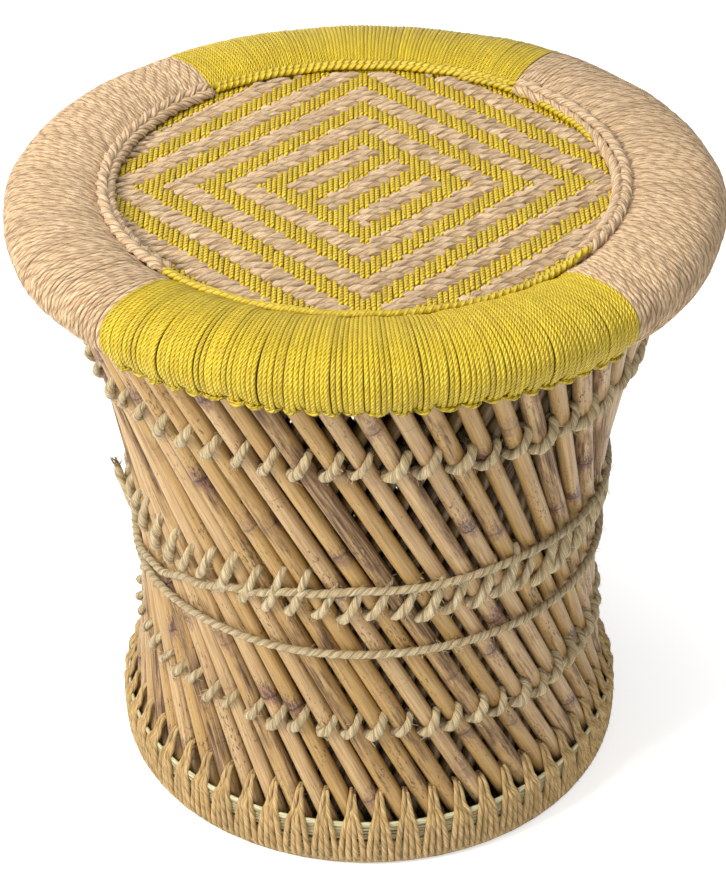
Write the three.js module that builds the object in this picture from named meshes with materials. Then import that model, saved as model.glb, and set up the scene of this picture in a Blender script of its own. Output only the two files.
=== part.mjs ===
// A round reed stool of the mudda kind. Two crossed layers of straight reeds stand between a
// bound foot ring and a cord-wrapped rim, tied to each other by three lashing rows, with two
// ropes round the waist and a seat of rope and cord inside the rim.
// Millimetres, +Z up, origin on the floor in the middle of the stool.
import * as THREE from 'three';

// Overall sizes and clearances
const STOOL_HEIGHT = 402.7;
const RIM_OUTER_RADIUS = 210;
const BASE_OUTER_RADIUS = 163.4;
const FIT_GAP = 0.3;
const ROUND_SLACK = 0.35;

// Rim: a flattened roll of reeds under a skin of cord
const RIM_HALF_WIDTH = 31;
const RIM_HALF_HEIGHT = 19.2;
const RIM_SQUARENESS = 2.3;
const WRAP_THICKNESS = 2.8;
const RIM_CENTRE_RADIUS = RIM_OUTER_RADIUS - RIM_HALF_WIDTH;
const RIM_CENTRE_HEIGHT = STOOL_HEIGHT - RIM_HALF_HEIGHT;
const RIM_SKIN_DEGREES = [-80, -38, 0, 40, 90, 140, 180, 210, 238];
const RIM_STEP_DEGREES = 7.5;
const YELLOW_FRONT_HALF_DEGREES = 44;
const YELLOW_BACK_HALF_DEGREES = 38;
const RIM_BUNDLE_STEPS = 48;

// Reeds: outer and inner layer lean opposite ways and cross a whole number of times
const REED_COUNT = 58;
const CROSSINGS = 21;
const REED_RADIUS = 4.95;
const REED_SIDES = 8;
const REED_FOOT_HEIGHT = 28;
const REED_HEAD_DEPTH = 18.7;
const REED_HEAD_OUTSET = 5;
const LAYER_GAP = 0.45;
const ELBOW_REACH = 4.5;
const ELBOW_FLATNESS_SHARE = 0.6;
const FREE_HEAD_SETBACK = 14;
const REED_TILT_SHARE = 1.1;

// Foot ring: hoops inside and outside the reed feet, a bundle under them, bound with rope
const BINDING_THICKNESS = 2.4;
const OUTER_HOOP_THICKNESS = 3.9;
const OUTER_HOOP_RISE = 6;
const OUTER_HOOP_TOP = REED_FOOT_HEIGHT + OUTER_HOOP_RISE;
const OUTER_HOOP_SHOULDER_DROP = 12;
const OUTER_HOOP_SHOULDER = OUTER_HOOP_TOP - OUTER_HOOP_SHOULDER_DROP;
const HOOP_SHOULDER_WIDTH = 1;
const INNER_HOOP_THICKNESS = 4.1;
const INNER_HOOP_RISE = 3;
const INNER_HOOP_TOP = REED_FOOT_HEIGHT + INNER_HOOP_RISE;
const BINDING_INNER_DROP = 1;
const BINDING_INNER_TOP = INNER_HOOP_TOP - BINDING_INNER_DROP;
const BINDING_CORNER = 5;
const BINDING_FOOT_INSET = 3;
const BINDING_VALLEY_DROP = 10;
const BINDING_VALLEY_TOP = OUTER_HOOP_TOP - BINDING_VALLEY_DROP;
const BINDING_SHOULDER_RISE = 0.8;
const BINDING_LEAF_SHOULDER = OUTER_HOOP_TOP + BINDING_SHOULDER_RISE;
const BINDING_LEAF_RISE = 17;
const BINDING_LEAF_TOP = OUTER_HOOP_TOP + BINDING_LEAF_RISE;
const BUNDLE_STEPS = 58;

// Lashing rows and waist ropes
const LASHING_HEIGHTS = [97, 193, 311];
const LASHING_HALF_WIDTH = 2;
const LASHING_HALF_THICKNESS = 1.5;
const LASHING_CLEARANCE = 0.4;
const FRONT_FILL_SHARE = 1.12;
const BACK_FILL_SHARE = 0.7;
const LASHING_CORNERS = 4;
const WAIST_ROPE_RADIUS = 2.5;
const WAIST_ROPE_SIDES = 5;
const WAIST_ROPE_STEPS = 58;
const WAIST_LIFT_FADE = 6;

// Each waist rope's route: azimuths in degrees, and the height above the floor at each
const UPPER_WAIST_DEGREES = [-165, -150, -135, -120, -105, -90, -60, -30, 0, 40, 90, 130, 165];
const UPPER_WAIST_HEIGHTS = [162, 169, 182, 194, 203, 208.5, 210.5, 209, 205, 199, 188, 174, 164];
const LOWER_WAIST_DEGREES = [-165, -120, -60, 0, 90, 165];
const LOWER_WAIST_HEIGHTS = [153, 158, 159, 157, 152, 152];

// Seat: pairs of yellow cord from front to back, with runs of natural rope across them
const SEAT_TOP_DEPTH = 10.4;
const WEFT_ROPE_WIDTH = 5.4;
const WEFT_ROPE_HEIGHT = 4.8;
const WEFT_SPACING = 6.4;
const WARP_PAIR_WIDTH = 5.3;
const WARP_PAIR_HEIGHT = 2.9;
const WARP_SPACING = 5.97;

// Edging between the seat and the rim
const EDGING_RADIUS = 2.6;
const EDGING_RISE = 1.5;
const BRAID_HALF_WIDTH = 4.2;
const EDGING_SIDES = 6;

const TURN = Math.PI * 2;
const PITCH = TURN / REED_COUNT;
const REED_HEAD_HEIGHT = STOOL_HEIGHT - REED_HEAD_DEPTH;
const REED_FLAT = REED_RADIUS * Math.cos(Math.PI / REED_SIDES);
const LAYER_STEP = REED_FLAT * 2 + LAYER_GAP;
const SOLVE_STEPS = 60;

const degrees = THREE.MathUtils.degToRad;

function polar(radius, azimuth, height) {
  return new THREE.Vector3(radius * Math.cos(azimuth), radius * Math.sin(azimuth), height);
}

function radial(azimuth) {
  return polar(1, azimuth, 0);
}

function tangential(azimuth) {
  return new THREE.Vector3(-Math.sin(azimuth), Math.cos(azimuth), 0);
}

// Halves the span between two values until the rising function crosses the target
function solveRising(rule, target, low, high) {
  let floor = low;
  let ceiling = high;
  for (let i = 0; i < SOLVE_STEPS; i += 1) {
    const middle = (floor + ceiling) / 2;
    if (rule(middle) < target) floor = middle;
    else ceiling = middle;
  }
  return (floor + ceiling) / 2;
}

// Joins rings of points into one closed skin. A closed path has no ends; an open one gets a
// cap at each end, cut into triangles from the flat outline of the ring.
function loft(rings, endOutline) {
  const sides = rings[0].length;
  const positions = rings.flat().flatMap((point) => [point.x, point.y, point.z]);
  const faces = [];
  const spans = endOutline ? rings.length - 1 : rings.length;
  for (let i = 0; i < spans; i += 1) {
    const here = i * sides;
    const there = ((i + 1) % rings.length) * sides;
    for (let k = 0; k < sides; k += 1) {
      const next = (k + 1) % sides;
      faces.push([here + k, here + next, there + next]);
      faces.push([here + k, there + next, there + k]);
    }
  }
  if (endOutline) {
    const last = (rings.length - 1) * sides;
    const turnsLeft = THREE.ShapeUtils.area(endOutline) > 0;
    for (const [a, b, c] of THREE.ShapeUtils.triangulateShape(endOutline, [])) {
      const piece = THREE.ShapeUtils.area([endOutline[a], endOutline[b], endOutline[c]]);
      const [first, second] = piece > 0 === turnsLeft ? [b, c] : [c, b];
      faces.push([a, second, first]);
      faces.push([last + a, last + first, last + second]);
    }
  }
  return facingOut(positions, faces);
}

// Turns every face outward, which is how a solid with a positive volume is wound
function facingOut(positions, faces) {
  const corner = (i) => new THREE.Vector3().fromArray(positions, i * 3);
  let volume = 0;
  for (const [a, b, c] of faces) {
    volume += corner(a).dot(corner(b).cross(corner(c)));
  }
  const index = volume > 0 ? faces.flat() : faces.map(([a, b, c]) => [a, c, b]).flat();
  const geometry = new THREE.BufferGeometry();
  geometry.setAttribute('position', new THREE.Float32BufferAttribute(positions, 3));
  geometry.setIndex(index);
  geometry.computeVertexNormals();
  return geometry;
}

// Sweeps a section of [radius, height] points round the axis through the given azimuths
function sweepRound(sectionAt, azimuths, closed) {
  const rings = azimuths.map((azimuth, step) => (
    sectionAt(azimuth, step).map(([radius, height]) => polar(radius, azimuth, height))
  ));
  const outline = sectionAt(azimuths[0], 0).map(([radius, height]) => new THREE.Vector2(radius, height));
  return loft(rings, closed ? null : outline);
}

function fullCircle(steps, start = 0) {
  return Array.from({ length: steps }, (_, i) => start + (i * TURN) / steps);
}

// Reed layers. A layer is a ruled surface: each reed is a straight line from its foot to a
// head that stands further round. The two twists add up to a whole number of pitches, and
// their difference keeps the layers the same distance apart at the waist as at the ends.
const outerFootRadius = BASE_OUTER_RADIUS - BINDING_THICKNESS - OUTER_HOOP_THICKNESS
  - REED_RADIUS - FIT_GAP * 2 - ROUND_SLACK;
const outerHeadRadius = RIM_CENTRE_RADIUS + REED_HEAD_OUTSET;
const innerFootRadius = outerFootRadius - LAYER_STEP;
const innerHeadRadius = outerHeadRadius - LAYER_STEP;
const crossedTwist = CROSSINGS * PITCH;

function waistRadius(foot, head, twist) {
  const chord = Math.sqrt(foot ** 2 + head ** 2 - 2 * foot * head * Math.cos(twist));
  return (foot * head * Math.sin(twist)) / chord;
}

function waistStep(difference) {
  const outer = waistRadius(outerFootRadius, outerHeadRadius, (crossedTwist - difference) / 2);
  const inner = waistRadius(innerFootRadius, innerHeadRadius, (crossedTwist + difference) / 2);
  return outer - inner;
}

const twistDifference = solveRising(waistStep, LAYER_STEP, 0, PITCH * 3);
const OUTER = {
  foot: outerFootRadius,
  head: outerHeadRadius,
  twist: -(crossedTwist - twistDifference) / 2,
};
const INNER = {
  foot: innerFootRadius,
  head: innerHeadRadius,
  twist: (crossedTwist + twistDifference) / 2,
};

function reedPoint(layer, footAzimuth, height) {
  const foot = polar(layer.foot, footAzimuth, REED_FOOT_HEIGHT);
  const head = polar(layer.head, footAzimuth + layer.twist, REED_HEAD_HEIGHT);
  const share = (height - REED_FOOT_HEIGHT) / (REED_HEAD_HEIGHT - REED_FOOT_HEIGHT);
  return foot.lerp(head, share);
}

function reedDirection(layer, footAzimuth) {
  const foot = reedPoint(layer, footAzimuth, REED_FOOT_HEIGHT);
  return reedPoint(layer, footAzimuth, REED_HEAD_HEIGHT).sub(foot).normalize();
}

function layerRadius(layer, height) {
  const point = reedPoint(layer, 0, height);
  return Math.hypot(point.x, point.y);
}

function layerAzimuth(layer, height) {
  const point = reedPoint(layer, 0, height);
  return Math.atan2(point.y, point.x);
}

function crossingHeight(pitches) {
  const spread = (height) => layerAzimuth(INNER, height) - layerAzimuth(OUTER, height);
  return solveRising(spread, pitches * PITCH, REED_FOOT_HEIGHT, REED_HEAD_HEIGHT);
}

function wallRadius(height) {
  return layerRadius(OUTER, height) + REED_FLAT;
}

function reedRing(centre, along, flatness) {
  const azimuth = Math.atan2(centre.y, centre.x);
  const side = tangential(azimuth);
  side.addScaledVector(along, -side.dot(along)).normalize();
  const out = new THREE.Vector3().crossVectors(along, side);
  return Array.from({ length: REED_SIDES }, (_, k) => {
    const angle = ((k + 1 / 2) * TURN) / REED_SIDES;
    return centre.clone()
      .addScaledVector(side, REED_RADIUS * Math.cos(angle))
      .addScaledVector(out, REED_RADIUS * flatness * Math.sin(angle));
  });
}

// The turn where an outer and an inner reed are pressed together inside a ring
function elbowRing(azimuth, outerRadius, innerRadius, height, inward) {
  const centre = polar((outerRadius + innerRadius) / 2, azimuth, height);
  return reedRing(centre, radial(azimuth).multiplyScalar(inward ? -1 : 1), ELBOW_FLATNESS_SHARE);
}

// Four reeds in a row, joined where their crushed ends are bound together: down an outer
// reed, up the inner reed beside its foot, down the outer reed beside that head and up again
function reedSet(first) {
  const feet = [first, first + CROSSINGS].map((index) => index * PITCH);
  const rings = [];
  feet.forEach((foot, order) => {
    const down = reedDirection(OUTER, foot).negate();
    const up = reedDirection(INNER, foot);
    const innerTop = order === 0 ? REED_HEAD_HEIGHT : REED_HEAD_HEIGHT - FREE_HEAD_SETBACK;
    rings.push(reedRing(reedPoint(OUTER, foot, REED_HEAD_HEIGHT), down, 1));
    rings.push(reedRing(reedPoint(OUTER, foot, REED_FOOT_HEIGHT), down, 1));
    rings.push(elbowRing(foot, OUTER.foot, INNER.foot, REED_FOOT_HEIGHT - ELBOW_REACH, true));
    rings.push(reedRing(reedPoint(INNER, foot, REED_FOOT_HEIGHT), up, 1));
    rings.push(reedRing(reedPoint(INNER, foot, innerTop), up, 1));
    if (order === 0) {
      const head = foot + INNER.twist;
      rings.push(elbowRing(head, OUTER.head, INNER.head, REED_HEAD_HEIGHT + ELBOW_REACH, false));
    }
  });
  const outline = Array.from({ length: REED_SIDES }, (_, k) => {
    const angle = ((k + 1 / 2) * TURN) / REED_SIDES;
    return new THREE.Vector2(Math.cos(angle), Math.sin(angle));
  });
  return loft(rings, outline);
}

// Walks from V to V by the head that two of them share, and keeps every second one
function reedSetStarts() {
  const seen = new Set();
  const starts = [];
  for (let index = 0; index < REED_COUNT; index += 1) {
    let next = index;
    while (!seen.has(next)) {
      const partner = (next + CROSSINGS) % REED_COUNT;
      seen.add(next);
      seen.add(partner);
      starts.push(next);
      next = (partner + CROSSINGS) % REED_COUNT;
    }
  }
  return starts;
}

// Lashing: one rope that goes over each outer reed, through to the inside, behind the inner
// reed that crosses there and out again, once for each reed
function nearestLashingGap(height) {
  let best = 1;
  for (let gap = 1; gap < CROSSINGS - 1; gap += 1) {
    const here = Math.abs(crossingHeight(gap + 1 / 2) - height);
    if (here < Math.abs(crossingHeight(best + 1 / 2) - height)) best = gap;
  }
  return { low: crossingHeight(best), high: crossingHeight(best + 1) };
}

function halfGap(layer, height) {
  const lean = Math.abs(reedDirection(layer, 0).z);
  return layerRadius(layer, height) * Math.sin(PITCH / 2) * lean - REED_FLAT - LASHING_CLEARANCE;
}

function ropeCorner(point, thick, wide, halfThickness, halfWidth) {
  return [
    point.clone().addScaledVector(thick, halfThickness),
    point.clone().addScaledVector(thick, -halfThickness / 2).addScaledVector(wide, halfWidth),
    point.clone().addScaledVector(thick, -halfThickness / 2).addScaledVector(wide, -halfWidth),
  ];
}

function lashingRow(wantedHeight) {
  const { low, high } = nearestLashingGap(wantedHeight);
  const clearance = REED_FLAT + LASHING_CLEARANCE;
  const frontHalf = Math.min(LASHING_HALF_WIDTH, halfGap(OUTER, low) * FRONT_FILL_SHARE);
  const backHalf = Math.min(LASHING_HALF_WIDTH, halfGap(INNER, low) * BACK_FILL_SHARE);
  const frontThick = Math.min(LASHING_HALF_THICKNESS, frontHalf);
  const backThick = Math.min(LASHING_HALF_THICKNESS, backHalf);
  const front = (height) => layerRadius(OUTER, height) + clearance + frontThick / 2;
  const back = (height) => layerRadius(INNER, height) - clearance - backThick / 2;
  const rings = [];
  const centres = [];
  for (let reed = 0; reed < REED_COUNT; reed += 1) {
    const foot = reed * PITCH;
    const lowAzimuth = foot + layerAzimuth(OUTER, low) - PITCH / 2;
    const highAzimuth = foot + layerAzimuth(OUTER, high) + PITCH / 2;
    const frontLow = polar(front(low), lowAzimuth, low);
    const frontHigh = polar(front(high), highAzimuth, high);
    const backHigh = polar(back(high), highAzimuth, high);
    const backLow = polar(back(low), lowAzimuth + PITCH, low);
    centres.push(frontLow, frontHigh, backHigh, backLow);
    const up = frontHigh.clone().sub(frontLow).normalize();
    const down = backLow.clone().sub(backHigh).normalize();
    const outLow = radial(lowAzimuth);
    const outHigh = radial(highAzimuth);
    const outNext = radial(lowAzimuth + PITCH);
    const frontWide = new THREE.Vector3().crossVectors(up, outHigh).normalize();
    const backWide = new THREE.Vector3().crossVectors(outHigh, down).normalize();
    rings.push(ropeCorner(frontLow, outLow.clone().sub(up), frontWide, frontThick, frontHalf));
    rings.push(ropeCorner(frontHigh, outHigh.clone().add(up), frontWide, frontThick, frontHalf));
    rings.push(ropeCorner(backHigh, outHigh.clone().add(down).negate(), backWide, backThick, backHalf));
    rings.push(ropeCorner(backLow, down.clone().sub(outNext), backWide, backThick, backHalf));
  }
  const gap = leastSelfGap(centres, frontHalf * 2);
  console.log(`lashing at ${wantedHeight} mm: least gap to itself ${gap.toFixed(2)} mm`);
  return { geometry: loft(rings, null), low, high, reach: frontThick * 2 + LASHING_CLEARANCE };
}

// The least gap between a closed rope's runs, measured from middle to middle of its stretches
// and less the rope's thickness, leaving out the stretches next to each other
function leastSelfGap(centres, thickness) {
  const middles = centres.map((point, i) => point.clone().lerp(centres[(i + 1) % centres.length], 1 / 2));
  let least = Infinity;
  middles.forEach((point, i) => {
    for (let k = 2; k <= LASHING_CORNERS * 2; k += 1) {
      least = Math.min(least, point.distanceTo(middles[(i + k) % middles.length]) - thickness);
    }
  });
  return least;
}

// Waist ropes lie on the reeds and climb over the lashing strokes where they cross them
function routeHeight(azimuths, heights, azimuthDegrees) {
  const full = 360;
  const last = azimuths.length - 1;
  const before = azimuths.findLastIndex((azimuth) => azimuth <= azimuthDegrees);
  const from = before < 0 ? last : before;
  const to = (from + 1) % azimuths.length;
  const fromAzimuth = before < 0 ? azimuths[last] - full : azimuths[from];
  const toAzimuth = from === last && before >= 0 ? azimuths[to] + full : azimuths[to];
  const share = (azimuthDegrees - fromAzimuth) / (toAzimuth - fromAzimuth);
  return THREE.MathUtils.lerp(heights[from], heights[to], THREE.MathUtils.smoothstep(share, 0, 1));
}

function waistRope(azimuths, heights, strokes) {
  const half = 180;
  const edge = WAIST_ROPE_RADIUS + LASHING_HALF_WIDTH;
  const section = (azimuth) => {
    const turned = THREE.MathUtils.euclideanModulo(THREE.MathUtils.radToDeg(azimuth) + half, half * 2) - half;
    const height = routeHeight(azimuths, heights, turned);
    const outside = Math.max(strokes.low - edge - height, height - strokes.high - edge, 0);
    const lift = strokes.reach * (1 - THREE.MathUtils.smoothstep(outside, 0, WAIST_LIFT_FADE));
    const slopeRoom = ROUND_SLACK + WAIST_ROPE_RADIUS;
    const radius = wallRadius(height) + lift + FIT_GAP + slopeRoom;
    return Array.from({ length: WAIST_ROPE_SIDES }, (_, k) => {
      const angle = ((k + 1 / 2) * TURN) / WAIST_ROPE_SIDES;
      return [
        radius + WAIST_ROPE_RADIUS * Math.cos(angle),
        height + WAIST_ROPE_RADIUS * Math.sin(angle),
      ];
    });
  };
  return sweepRound(section, fullCircle(WAIST_ROPE_STEPS, -Math.PI), true);
}

// Foot ring
const hoopInside = OUTER.foot + REED_RADIUS + FIT_GAP + ROUND_SLACK;
const hoopOutside = BASE_OUTER_RADIUS - BINDING_THICKNESS - FIT_GAP;
const elbowDepth = ELBOW_REACH + REED_RADIUS * ELBOW_FLATNESS_SHARE;
const bundleTop = REED_FOOT_HEIGHT - elbowDepth - FIT_GAP;
const bindingFloor = BINDING_THICKNESS + FIT_GAP;
const innerHoopOutside = INNER.foot - REED_RADIUS - FIT_GAP - ROUND_SLACK;
const innerHoopInside = innerHoopOutside - INNER_HOOP_THICKNESS;
const innerWall = innerHoopInside - FIT_GAP;
const baseInnerRadius = innerWall - BINDING_THICKNESS;

function outerHoop() {
  const section = () => [
    [hoopInside, bundleTop + FIT_GAP], [hoopOutside, bundleTop + FIT_GAP],
    [hoopOutside, OUTER_HOOP_SHOULDER], [hoopInside + HOOP_SHOULDER_WIDTH, OUTER_HOOP_TOP],
  ];
  return sweepRound(section, fullCircle(BUNDLE_STEPS), true);
}

function innerHoop() {
  const section = () => [
    [innerHoopInside, bundleTop + FIT_GAP], [innerHoopOutside, bundleTop + FIT_GAP],
    [innerHoopOutside, INNER_HOOP_TOP], [innerHoopInside, INNER_HOOP_TOP],
  ];
  return sweepRound(section, fullCircle(BUNDLE_STEPS), true);
}

function footBundle() {
  const section = () => [
    [innerHoopInside, bindingFloor], [hoopOutside, bindingFloor],
    [hoopOutside, bundleTop], [innerHoopInside, bundleTop],
  ];
  return sweepRound(section, fullCircle(BUNDLE_STEPS), true);
}

// The binding rope is wound under the ring and rises in a pointed leaf at each gap between
// the outer reeds
function baseBinding() {
  const leafRadius = wallRadius(BINDING_LEAF_TOP) + FIT_GAP + ROUND_SLACK;
  const valleyRadius = BASE_OUTER_RADIUS - BINDING_THICKNESS;
  const section = (azimuth, step) => {
    const leaf = step % 2 === 0;
    const shoulder = leaf ? BINDING_LEAF_SHOULDER : BINDING_VALLEY_TOP;
    const tip = leaf ? BINDING_LEAF_TOP : BINDING_VALLEY_TOP + BINDING_THICKNESS / 2;
    const tipRadius = leaf ? leafRadius : valleyRadius;
    return [
      [baseInnerRadius, BINDING_INNER_TOP],
      [baseInnerRadius, 0],
      [BASE_OUTER_RADIUS - BINDING_FOOT_INSET, 0],
      [BASE_OUTER_RADIUS, BINDING_CORNER],
      [BASE_OUTER_RADIUS, shoulder],
      [tipRadius + BINDING_THICKNESS, tip],
      [tipRadius, tip],
      [valleyRadius, shoulder],
      [valleyRadius, BINDING_THICKNESS],
      [innerWall, BINDING_THICKNESS],
      [innerWall, BINDING_INNER_TOP],
    ];
  };
  const firstGap = layerAzimuth(OUTER, BINDING_LEAF_TOP) + PITCH / 2;
  return sweepRound(section, fullCircle(REED_COUNT * 2, firstGap), true);
}

// Rim
function rimPoint(angle, inset) {
  const power = 2 / RIM_SQUARENESS;
  const across = Math.cos(angle);
  const upward = Math.sin(angle);
  return [
    RIM_CENTRE_RADIUS + (RIM_HALF_WIDTH - inset) * Math.sign(across) * Math.abs(across) ** power,
    RIM_CENTRE_HEIGHT + (RIM_HALF_HEIGHT - inset) * Math.sign(upward) * Math.abs(upward) ** power,
  ];
}

function rimAzimuths(startDegrees, endDegrees) {
  const trim = THREE.MathUtils.radToDeg(FIT_GAP / 2 / RIM_CENTRE_RADIUS);
  const margin = RIM_STEP_DEGREES / 4;
  const list = [startDegrees + trim];
  const first = Math.ceil((startDegrees + margin) / RIM_STEP_DEGREES);
  for (let k = first; k * RIM_STEP_DEGREES < endDegrees - margin; k += 1) {
    list.push(k * RIM_STEP_DEGREES);
  }
  list.push(endDegrees - trim);
  return list.map(degrees);
}

function rimWrap(startDegrees, endDegrees) {
  const angles = RIM_SKIN_DEGREES.map(degrees);
  const section = () => [
    ...angles.map((angle) => rimPoint(angle, 0)),
    ...angles.toReversed().map((angle) => rimPoint(angle, WRAP_THICKNESS)),
  ];
  return sweepRound(section, rimAzimuths(startDegrees, endDegrees), false);
}

const bundleInset = WRAP_THICKNESS + FIT_GAP + ROUND_SLACK;
const elbowTop = REED_HEAD_HEIGHT + elbowDepth + FIT_GAP;
const headOutside = OUTER.head + REED_RADIUS + FIT_GAP + ROUND_SLACK;
const headInside = INNER.head - REED_RADIUS - FIT_GAP - ROUND_SLACK;

// How far out the bundle inside the reeds may reach at a height below their heads
function insideReeds(height) {
  return layerRadius(INNER, height) - REED_RADIUS * REED_TILT_SHARE - FIT_GAP - ROUND_SLACK;
}

function rimOuterBundle() {
  const low = rimPoint(degrees(RIM_SKIN_DEGREES[1]), bundleInset);
  const top = rimPoint(degrees(RIM_SKIN_DEGREES[3]), bundleInset);
  const section = () => [low, rimPoint(0, bundleInset), top, [headOutside, top[1]], [headOutside, low[1]]];
  return sweepRound(section, fullCircle(RIM_BUNDLE_STEPS), true);
}

function rimInnerBundle() {
  const top = rimPoint(degrees(RIM_SKIN_DEGREES[5]), bundleInset);
  const low = rimPoint(degrees(RIM_SKIN_DEGREES[7]), bundleInset);
  const section = () => [
    [headInside, top[1]], top, rimPoint(Math.PI, bundleInset), low, [insideReeds(low[1]), low[1]],
  ];
  return sweepRound(section, fullCircle(RIM_BUNDLE_STEPS), true);
}

function rimTopBundle() {
  const crown = RIM_CENTRE_HEIGHT + RIM_HALF_HEIGHT - bundleInset;
  const shoulder = rimPoint(degrees(RIM_SKIN_DEGREES[3]), bundleInset)[1] + FIT_GAP;
  const base = Math.max(elbowTop, shoulder);
  const section = () => [
    [headInside, base], [headOutside, base], [RIM_CENTRE_RADIUS, crown],
  ];
  return sweepRound(section, fullCircle(RIM_BUNDLE_STEPS), true);
}

// Seat runs go back and forth as one cord, mitred at each square turn, inside the rim
const seatTop = STOOL_HEIGHT - SEAT_TOP_DEPTH;
const seatRadius = RIM_CENTRE_RADIUS - RIM_HALF_WIDTH - FIT_GAP - ROUND_SLACK;

function serpentine(width, height, spacing, topHeight, limit, alongX) {
  const half = width / 2;
  const rowCount = Math.floor(((limit - half) * 2) / spacing) + 1;
  const rows = Array.from({ length: rowCount }, (_, i) => (i - (rowCount - 1) / 2) * spacing);
  const reach = (row) => Math.sqrt(Math.max(limit ** 2 - (Math.abs(row) + half) ** 2, half ** 2)) - half;
  const place = (along, across, level) => (
    alongX ? new THREE.Vector3(along, across, level) : new THREE.Vector3(across, along, level)
  );
  const ring = (along, across, leftAlong, leftAcross) => [
    place(along + leftAlong, across + leftAcross, topHeight),
    place(along - leftAlong, across - leftAcross, topHeight),
    place(along - leftAlong, across - leftAcross, topHeight - height),
    place(along + leftAlong, across + leftAcross, topHeight - height),
  ];
  const rings = rows.flatMap((row, i) => {
    const direction = i % 2 === 0 ? 1 : -1;
    const before = rows[Math.max(i - 1, 0)];
    const after = rows[Math.min(i + 1, rowCount - 1)];
    const start = Math.min(reach(row), reach(before));
    const end = Math.min(reach(row), reach(after));
    return [
      ring(-direction * start, row, i === 0 ? 0 : -half, direction * half),
      ring(direction * end, row, i === rowCount - 1 ? 0 : -half, direction * half),
    ];
  });
  const square = [[1, 1], [-1, 1], [-1, -1], [1, -1]].map(([x, y]) => new THREE.Vector2(x, y));
  return loft(rings, square);
}

// Edging lies round the seat, against the straight stretch of the rim's inner face
const edgingHeight = seatTop + EDGING_RISE;

function edgingRadius(halfWidth) {
  const [upperRadius, upperHeight] = rimPoint(degrees(RIM_SKIN_DEGREES[5]), 0);
  const [lowerRadius, lowerHeight] = rimPoint(degrees(RIM_SKIN_DEGREES[6]), 0);
  const share = (edgingHeight - lowerHeight) / (upperHeight - lowerHeight);
  return THREE.MathUtils.lerp(lowerRadius, upperRadius, share) - halfWidth - FIT_GAP;
}

function edging(startDegrees, endDegrees, halfWidth) {
  const centreRadius = edgingRadius(halfWidth);
  const section = () => Array.from({ length: EDGING_SIDES }, (_, k) => {
    const angle = (k * TURN) / EDGING_SIDES;
    return [
      centreRadius + halfWidth * Math.cos(angle),
      edgingHeight + EDGING_RADIUS * Math.sin(angle),
    ];
  });
  return sweepRound(section, rimAzimuths(startDegrees, endDegrees), false);
}

// Materials
function material(color, roughness) {
  return new THREE.MeshStandardMaterial({ color, roughness, metalness: 0 });
}

const reed = material(0xb8935f, 0.6);
const paleReed = material(0xd9d0a8, 0.7);
const bundleReed = material(0xb79a6b, 0.8);
const lashingRope = material(0xc4b084, 0.95);
const bindingRope = material(0xc09a66, 0.95);
const naturalRope = material(0xd2b48a, 0.95);
const yellowCord = material(0xccbe22, 0.7);

const stool = new THREE.Group();

function add(name, geometry, look) {
  const mesh = new THREE.Mesh(geometry, look);
  mesh.name = name;
  stool.add(mesh);
}

reedSetStarts().forEach((first, order) => {
  add(`reed_set_${String(order + 1).padStart(2, '0')}`, reedSet(first), reed);
});

const [lowerRow, waistRow, upperRow] = LASHING_HEIGHTS.map(lashingRow);
add('lower_lashing', lowerRow.geometry, lashingRope);
add('waist_lashing', waistRow.geometry, lashingRope);
add('upper_lashing', upperRow.geometry, lashingRope);
add('upper_waist_rope', waistRope(UPPER_WAIST_DEGREES, UPPER_WAIST_HEIGHTS, waistRow), lashingRope);
add('lower_waist_rope', waistRope(LOWER_WAIST_DEGREES, LOWER_WAIST_HEIGHTS, waistRow), lashingRope);

add('base_outer_hoop', outerHoop(), paleReed);
add('base_inner_hoop', innerHoop(), paleReed);
add('base_foot_bundle', footBundle(), bundleReed);
add('base_binding', baseBinding(), bindingRope);

add('rim_outer_bundle', rimOuterBundle(), bundleReed);
add('rim_inner_bundle', rimInnerBundle(), bundleReed);
add('rim_top_bundle', rimTopBundle(), bundleReed);

const quarter = 90;
const frontStart = -quarter - YELLOW_FRONT_HALF_DEGREES;
const frontEnd = -quarter + YELLOW_FRONT_HALF_DEGREES;
const backStart = quarter - YELLOW_BACK_HALF_DEGREES;
const backEnd = quarter + YELLOW_BACK_HALF_DEGREES;
const leftEnd = frontStart + quarter * 4;
add('rim_wrap_front', rimWrap(frontStart, frontEnd), yellowCord);
add('rim_wrap_right', rimWrap(frontEnd, backStart), naturalRope);
add('rim_wrap_back', rimWrap(backStart, backEnd), yellowCord);
add('rim_wrap_left', rimWrap(backEnd, leftEnd), naturalRope);
add('edging_cord_front', edging(frontStart, frontEnd, EDGING_RADIUS), yellowCord);
add('edging_braid_right', edging(frontEnd, backStart, BRAID_HALF_WIDTH), naturalRope);
add('edging_cord_back', edging(backStart, backEnd, EDGING_RADIUS), yellowCord);
add('edging_braid_left', edging(backEnd, leftEnd, BRAID_HALF_WIDTH), naturalRope);

// The rope runs stop at the edging, and the cord runs below them reach the rim
const warpTop = seatTop - WEFT_ROPE_HEIGHT - FIT_GAP;
const weftLimit = edgingRadius(BRAID_HALF_WIDTH) - BRAID_HALF_WIDTH - FIT_GAP - ROUND_SLACK;
const weft = serpentine(WEFT_ROPE_WIDTH, WEFT_ROPE_HEIGHT, WEFT_SPACING, seatTop, weftLimit, true);
const warp = serpentine(WARP_PAIR_WIDTH, WARP_PAIR_HEIGHT, WARP_SPACING, warpTop, seatRadius, false);
add('seat_weft_rope', weft, naturalRope);
add('seat_warp_cord', warp, yellowCord);

export default stool;
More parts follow.
